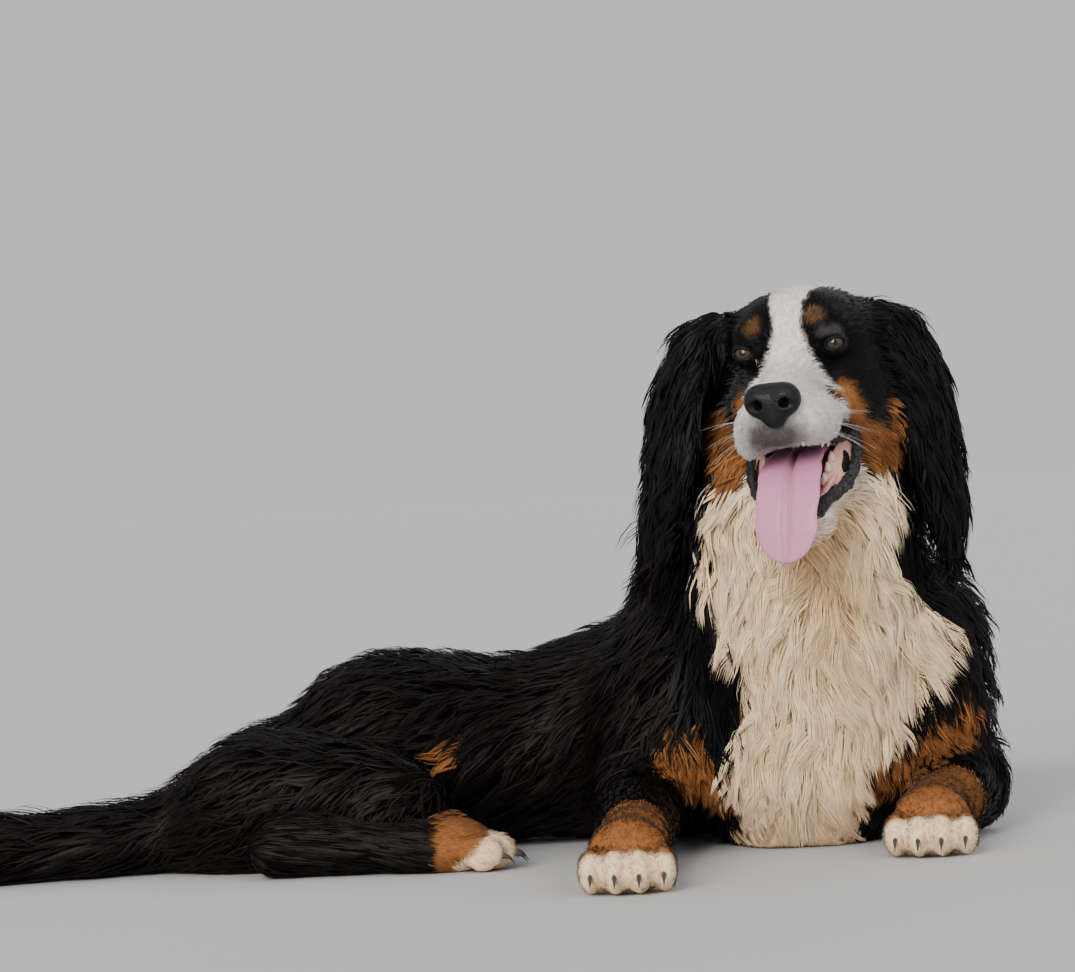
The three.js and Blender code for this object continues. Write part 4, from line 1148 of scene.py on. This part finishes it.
GAZE = unit(np.array([0.10, -1.0, 0.02]))
PUPIL_ANGLE = 15
IRIS_ANGLE = 37
IRIS_EDGE_ANGLE = 50
EYE_BANDS = [1, 7, 12, 14.5, 15.5, 19, 24, 29, 33, 36, 38, 41, 46, 54, 64, 80, 100, 120, 140, 160, 176]
LID_ANGLE = 76
LID_HALF_WIDTH = 50
LID_HEIGHTS = {"upper": 21, "lower": 29}

# From the rim of the opening to the lids' outer edge: share of the way, and lift in eye radii
LID_ROWS = [
    (0.0, 0.97), (0.0, 1.03), (0.03, 1.06), (0.08, 1.07), (0.16, 1.06), (0.26, 1.035), (0.38, 1.05),
    (0.55, 1.03), (0.75, 1.0), (1.0, 0.96),
]


def basis_about(axis):
    across = unit(np.cross(axis, [0, 0, 1]))
    return across, np.cross(across, axis), axis


def on_ball(sign, basis, plane, angle, lift):
    """Points round an eye's middle, at those angles from its axis in the ways that plane gives."""
    across, up, ahead = basis
    ring = (plane[:, :1] * across + plane[:, 1:] * up) * np.sin(angle)
    return EYE_AT * [sign, 1, 1] + EYE_RADIUS * lift * (ring + ahead * np.cos(angle))


def eye(sign, name):
    basis = basis_about(unit(GAZE + [sign * 0.16, 0, 0]))
    turns = turns_of(48)
    plane = np.stack([np.cos(turns), np.sin(turns)], 1)
    bulge = 1 + 0.07 * step_between(-np.array(EYE_BANDS), -44.0, -10.0)
    points, colours = [], []
    for band, swell in zip(EYE_BANDS, bulge):
        points.append(on_ball(sign, basis, plane, math.radians(band), 0.985 * swell))
        if band < PUPIL_ANGLE - 1:
            colour = PUPIL_COLOUR
        elif band < IRIS_ANGLE:
            colour = IRIS_COLOUR * (1.3 - 0.8 * (band - PUPIL_ANGLE) / (IRIS_ANGLE - PUPIL_ANGLE))
        else:
            colour = IRIS_EDGE_COLOUR if band < IRIS_EDGE_ANGLE else EYEBALL_COLOUR
        colours.append(np.tile(colour, (len(turns), 1)))
    points, colours = from_head(np.concatenate(points)), np.concatenate(colours)
    quads = ring_mesh(len(EYE_BANDS), len(turns))[:, ::-1]
    finish_piece(make_object(name, points, quads, colours=colours), eye_surface, [name])


def eyelids(sign, name):
    """Rolled rims round an almond opening, and folded lids that spread from them over the ball."""
    basis = basis_about(unit(GAZE + [sign * 0.22, 0, 0]))
    turns = turns_of(64)
    tilt = math.radians(-8 * sign)
    rise = np.sin(turns)
    highest = np.where(rise > 0, LID_HEIGHTS["upper"], LID_HEIGHTS["lower"])
    height = highest * np.abs(rise) ** 0.85 * np.sign(rise)
    opening = np.stack([LID_HALF_WIDTH * np.cos(turns), height], 1)
    opening = opening @ np.array([[math.cos(tilt), math.sin(tilt)], [-math.sin(tilt), math.cos(tilt)]])
    edge = LID_ANGLE * np.stack([np.cos(turns), rise], 1)
    points = []
    for share, lift in LID_ROWS:
        direction = np.radians(opening * (1 - share) + edge * share)
        angle = np.linalg.norm(direction, axis=1)[:, None]
        points.append(on_ball(sign, basis, direction / angle, angle, lift))
    quads = ring_mesh(len(LID_ROWS), len(turns))
    obj = make_object(f"{name}_lids", from_head(np.concatenate(points)), quads[:, ::-1])
    thick = obj.modifiers.new("thick", "SOLIDIFY")
    thick.thickness = 0.0008
    thick.offset = -1
    finish_piece(obj, lid_skin)


for side, sign in SIDES.items():
    eye(sign, f"{side}_eye")
    eyelids(sign, f"{side}_eye")


# Nose pad, with nostrils and the groove below


def nose_field(q):
    x, y, z = NOSE_AT
    pad = melt([
        ball(x, y, z + 2, 24, 15, 17),
        *[ball(x + 13 * sign, y - 4, z + 3, 13, 12, 14.5) for sign in SIDES.values()],
        ball(x, y - 2, z - 12, 11, 10, 11),
    ], 6)(q)
    holes = melt([
        *[limb([sign * 15, y - 18, z - 2], [sign * 9, y - 6, z], 4.8, 4.0) for sign in SIDES.values()],
        *[limb([sign * 23, y - 11, z - 4], [sign * 15, y - 17, z - 2], 2.0, 4.0) for sign in SIDES.values()],
    ], 3)(q)
    groove = limb([0, y - 20, z + 2], [0, y - 14, z - 26], 1.6, 2.2)(q)
    return -melt_two(melt_two(-pad, holes, 3), groove, 3)


nose_points, nose_quads = polygonise(nose_field, NOSE_AT - [40, 30, 34], NOSE_AT + [40, 30, 32], NOSE_CELL)
nose_points = settle(nose_field, nose_points, 2)
finish_piece(make_object("nose_pad", from_head(nose_points), nose_quads), nose_skin, ["nose"])


# Lofts along smooth lines in the head's frame


def smooth_line(points, count):
    """Catmull-Rom through the points, at even steps of its length."""
    points = np.array(points, float)
    padded = np.concatenate([[2 * points[0] - points[1]], points, [2 * points[-1] - points[-2]]])
    fine = []
    for n in range(len(points) - 1):
        a, b, c, d = padded[n : n + 4]
        t = np.linspace(0, 1, 24, endpoint=n == len(points) - 2)[:, None]
        curve = (2 * a - 5 * b + 4 * c - d) * t**2 + (3 * b - a - 3 * c + d) * t**3
        fine.append(0.5 * (2 * b + (c - a) * t + curve))
    fine = np.concatenate(fine)
    length = np.concatenate([[0], np.cumsum(np.linalg.norm(np.diff(fine, axis=0), axis=1))])
    wanted = np.linspace(0, length[-1], count)
    return np.stack([np.interp(wanted, length, fine[:, axis]) for axis in range(3)], 1)


def sections_along(line, side, up, outline, wide, thick):
    """outline gives a section's points, in shares of its half sizes wide and thick."""
    sections = line[:, None] + side[:, None] * (outline[None, :, :1] * wide[:, None, None])
    return sections + up[:, None] * (outline[None, :, 1:] * thick[:, None, None])


def loft(name, line, facing, outline, wide, thick):
    """Closed flat body along a line, with its broad side that way."""
    tangent = unit(np.gradient(line, axis=0))
    side = unit(np.cross(facing, tangent))
    sections = sections_along(line, side, np.cross(tangent, side), outline, wide, thick)
    around = len(outline)
    points = np.concatenate([sections.reshape(-1, 3), line[:1], line[-1:]])
    first, last = len(points) - 2, len(points) - 1
    n = np.arange(around)
    end = (len(line) - 1) * around
    caps = np.concatenate([
        np.stack([np.full(around, first), (n + 1) % around, n], 1),
        np.stack([np.full(around, last), end + n, end + (n + 1) % around], 1),
    ])
    return make_object(name, from_head(points), ring_mesh(len(line), around), caps)


TONGUE_LINE = [
    [0, -25, -94], [0, -78, -98], [0, -111, -110], [0, -131, -129], [-3, -141, -159], [-6, -145, -194],
]
turns = turns_of(40)
across, up = np.cos(turns), np.sin(turns)
groove = -1.3 * np.exp(-((across / 0.06) ** 2)) * (up > 0)
tongue_outline = np.stack([across, up + groove + 0.55 * across**2], 1)
tongue_line = smooth_line(TONGUE_LINE, 48)
t = np.linspace(0, 1, 48)
tongue_wide = TONGUE_WIDTH / 2 * np.sqrt(np.maximum(0.02, 1 - (np.maximum(0, t - 0.8) / 0.2) ** 2))
tongue_wide = tongue_wide * (0.72 + 0.28 * np.minimum(1, t / 0.55)) * (1 + 0.02 * np.sin(t * 40))
tongue = loft("tongue_surface", tongue_line, np.array([0, -0.5, 1]), tongue_outline, tongue_wide, 8.0 - 4 * t)
finish_piece(tongue, tongue_skin, ["tongue"])

circle = np.stack([across, up], 1)[::2]
LIP_POINTS = 90
PEBBLE_SIZE = 5.5
UPPER_LIP = [[49, -42, -77], [46, -56, -82], [42, -74, -85], [37, -92, -86]]
LOWER_LIP = [
    [46, -44, -78], [49, -42, -90], [50, -53, -104], [47, -66, -118], [41, -76, -128], [32, -88, -135],
    [26, -104, -142], [20, -114, -152], [8, -119, -156], [0, -120, -156],
]
CHEEK_LINING = [[43, -44, -87], [42, -53, -96], [39, -66, -108], [33, -78, -119], [25, -92, -128]]
GUM = [[35, -46, -104], [33, -62, -110], [31, -76, -118], [27, -92, -128], [20, -106, -140]]


def lip(name, points, radius, bumps):
    """A pebbled cord. bumps is how far its thickness varies, in shares of it."""
    line = smooth_line(points, LIP_POINTS)
    size = radius * (1 + bumps * np.sin(np.linspace(0, 46, LIP_POINTS)) * np.linspace(1, 0.3, LIP_POINTS))
    obj = loft(name, line, np.array([0, 0, 1]), circle, size * 0.8, size)
    for vertex in obj.data.vertices:
        height = 0.0072 * bumps * float(ripple(np.array([vertex.co]) * 1000, PEBBLE_SIZE)[0])
        vertex.co += vertex.normal * height
    finish_piece(obj, lip_skin_with_painted_glints)


def lining(name, points, wide, thick, sign):
    """Pink skin inside a cheek, as a sheet that thins out at its ends."""
    size = np.sin(np.linspace(0.5, 2.7, 32))
    facing = np.array([sign, -0.6, 0.4])
    sheet = loft(name, smooth_line(points, 32), facing, circle, wide * size, thick * size)
    finish_piece(sheet, cheek_skin)


for side, sign in SIDES.items():
    mirror = [sign, 1, 1]
    lip(f"{side}_upper_lip", np.array(UPPER_LIP) * mirror, 2.2, 0.1)
    lip(f"{side}_lower_lip", np.array(LOWER_LIP) * mirror, 6.4, 0.14)
    lining(f"{side}_cheek_lining", np.array(CHEEK_LINING) * mirror, 15, 2.5, sign)
    lining(f"{side}_gum", np.array(GUM) * mirror, 3.5, 6, sign)


def tooth(name, x, y, z, radius, height):
    """A curved cone; height is negative for a tooth that points down."""
    middle, tip = [x * 1.02, y - 1.5, z + height * 0.55], [x * 0.98, y + 1.0, z + height]
    line = smooth_line([[x, y, z], middle, tip], 12)
    size = radius * (1 - np.linspace(0, 1, 12) ** 1.6 * 0.93)
    obj = loft(name, line, np.array([0, 1, 0.1]), circle, size, size * 1.1)
    finish_piece(obj, tooth_enamel)


for side, sign in SIDES.items():
    tooth(f"{side}_upper_canine", sign * 19, -136 - 2 * sign, -82 + sign, 2.1, -8)
    tooth(f"{side}_lower_canine", sign * 17, -108, -146, 3.4, 15)
    for n in range(2):
        tooth(f"{side}_upper_molar_{n}", sign * (31 + n), -110 + 22 * n, -82, 3.0, -9)
    for n in range(3):
        name = f"{side}_lower_molar_{n}"
        tooth(name, sign * (31 - 2.2 * n), -74 - 11 * n, -103 - 9 * n, 3.9 - 0.3 * n, 9 - n)
    for n in range(2):
        tooth(f"{side}_lower_incisor_{n}", sign * (4 + 5.5 * n), -116 + n, -146, 2.4, 9)


# Claws, one on each toe

CLAW_RADIUS = 3.1


def claw(name, place, leg):
    """A curved horn that comes out of the toe and is closed at its tip."""
    ahead = heading_of(leg)
    start = place + ahead * leg["width"] * 0.20 + [0, 0, -2]
    line = smooth_line([start, start + ahead * 9 + [0, 0, -2], start + ahead * 15 + [0, 0, -9]], 12)
    line[:, 2] = np.maximum(line[:, 2], 3.5)
    size = CLAW_RADIUS * (1 - np.linspace(0, 1, len(line)) ** 1.5 * 0.9)
    up = np.array([[0, 0, 1.0]])
    sections = sections_along(line, unit(np.cross(up, ahead)), up, circle, size * 0.8, size)
    points = np.concatenate([sections.reshape(-1, 3), line[-1:]])
    around = len(circle)
    n = np.arange(around)
    end = (len(line) - 1) * around
    tip = np.stack([np.full(around, len(points) - 1), end + (n + 1) % around, end + n], 1)
    obj = make_object(name, points, ring_mesh(len(line), around)[:, ::-1], tip)
    finish_piece(obj, claw_horn)


for leg_name, leg in LEGS.items():
    for n, place in enumerate(toe_places(leg)):
        claw(f"{leg_name}_claw_{n}", place, leg)


# Floor, lights and camera


def soft_sun(name, place, angle, power, colour=(1, 1, 1)):
    """A sun that shines from that place to the middle of the dog. angle is its size in degrees."""
    light = bpy.data.lights.new(name, "SUN")
    light.angle = math.radians(angle)
    light.energy = power
    light.color = colour
    obj = bpy.data.objects.new(name, light)
    obj.location = place
    obj.rotation_euler = (Vector(LIT_POINT) - Vector(place)).to_track_quat("-Z", "Y").to_euler()
    bpy.context.collection.objects.link(obj)


FLOOR_REACH = 200
floor_mesh = bpy.data.meshes.new("floor")
floor_corners = [(x * FLOOR_REACH, y * FLOOR_REACH, 0) for x, y in ((-1, -1), (1, -1), (1, 1), (-1, 1))]
floor_mesh.from_pydata(floor_corners, [], [(0, 1, 2, 3)])
floor = bpy.data.objects.new("floor", floor_mesh)
bpy.context.collection.objects.link(floor)
floor_material, floor_nodes, floor_links, floor_shader = new_material("floor")
floor_noise = add_node(floor_nodes, "ShaderNodeTexNoise", Scale=3.0, Detail=2.0)
floor_ramp = add_node(floor_nodes, "ShaderNodeMapRange", To_Min=0.53, To_Max=0.555)
floor_links.new(floor_noise.outputs["Fac"], floor_ramp.inputs["Value"])
floor_links.new(floor_ramp.outputs["Result"], floor_shader.inputs["Base Color"])
set_sockets(floor_shader, Roughness=0.9)
floor.data.materials.append(floor_material)

world = bpy.data.worlds.new("studio")
world.use_nodes = True
set_sockets(world.node_tree.nodes["Background"], Color=(0.87, 0.88, 0.90, 1), Strength=0.765)
bpy.context.scene.world = world
soft_sun("key", (-1.2, -2.8, 1.45), 30, 3.15, (1, 0.955, 0.89))
soft_sun("fill", (2.6, -2.4, 1.2), 60, 0.7, (0.93, 0.96, 1))
soft_sun("rim", (1.2, 2.6, 2.2), 30, 0.4)
soft_sun("catch", (-0.9, -2.6, 2.1), 3, 0.25)

camera = bpy.data.objects.new("camera", bpy.data.cameras.new("camera"))
camera.data.lens = LENS
camera.data.sensor_width = 36
camera.data.clip_end = 100
camera.location = CAMERA_AT
camera.rotation_euler = (math.radians(90), math.radians(CAMERA_ROLL), 0)
bpy.context.collection.objects.link(camera)
bpy.context.scene.camera = camera
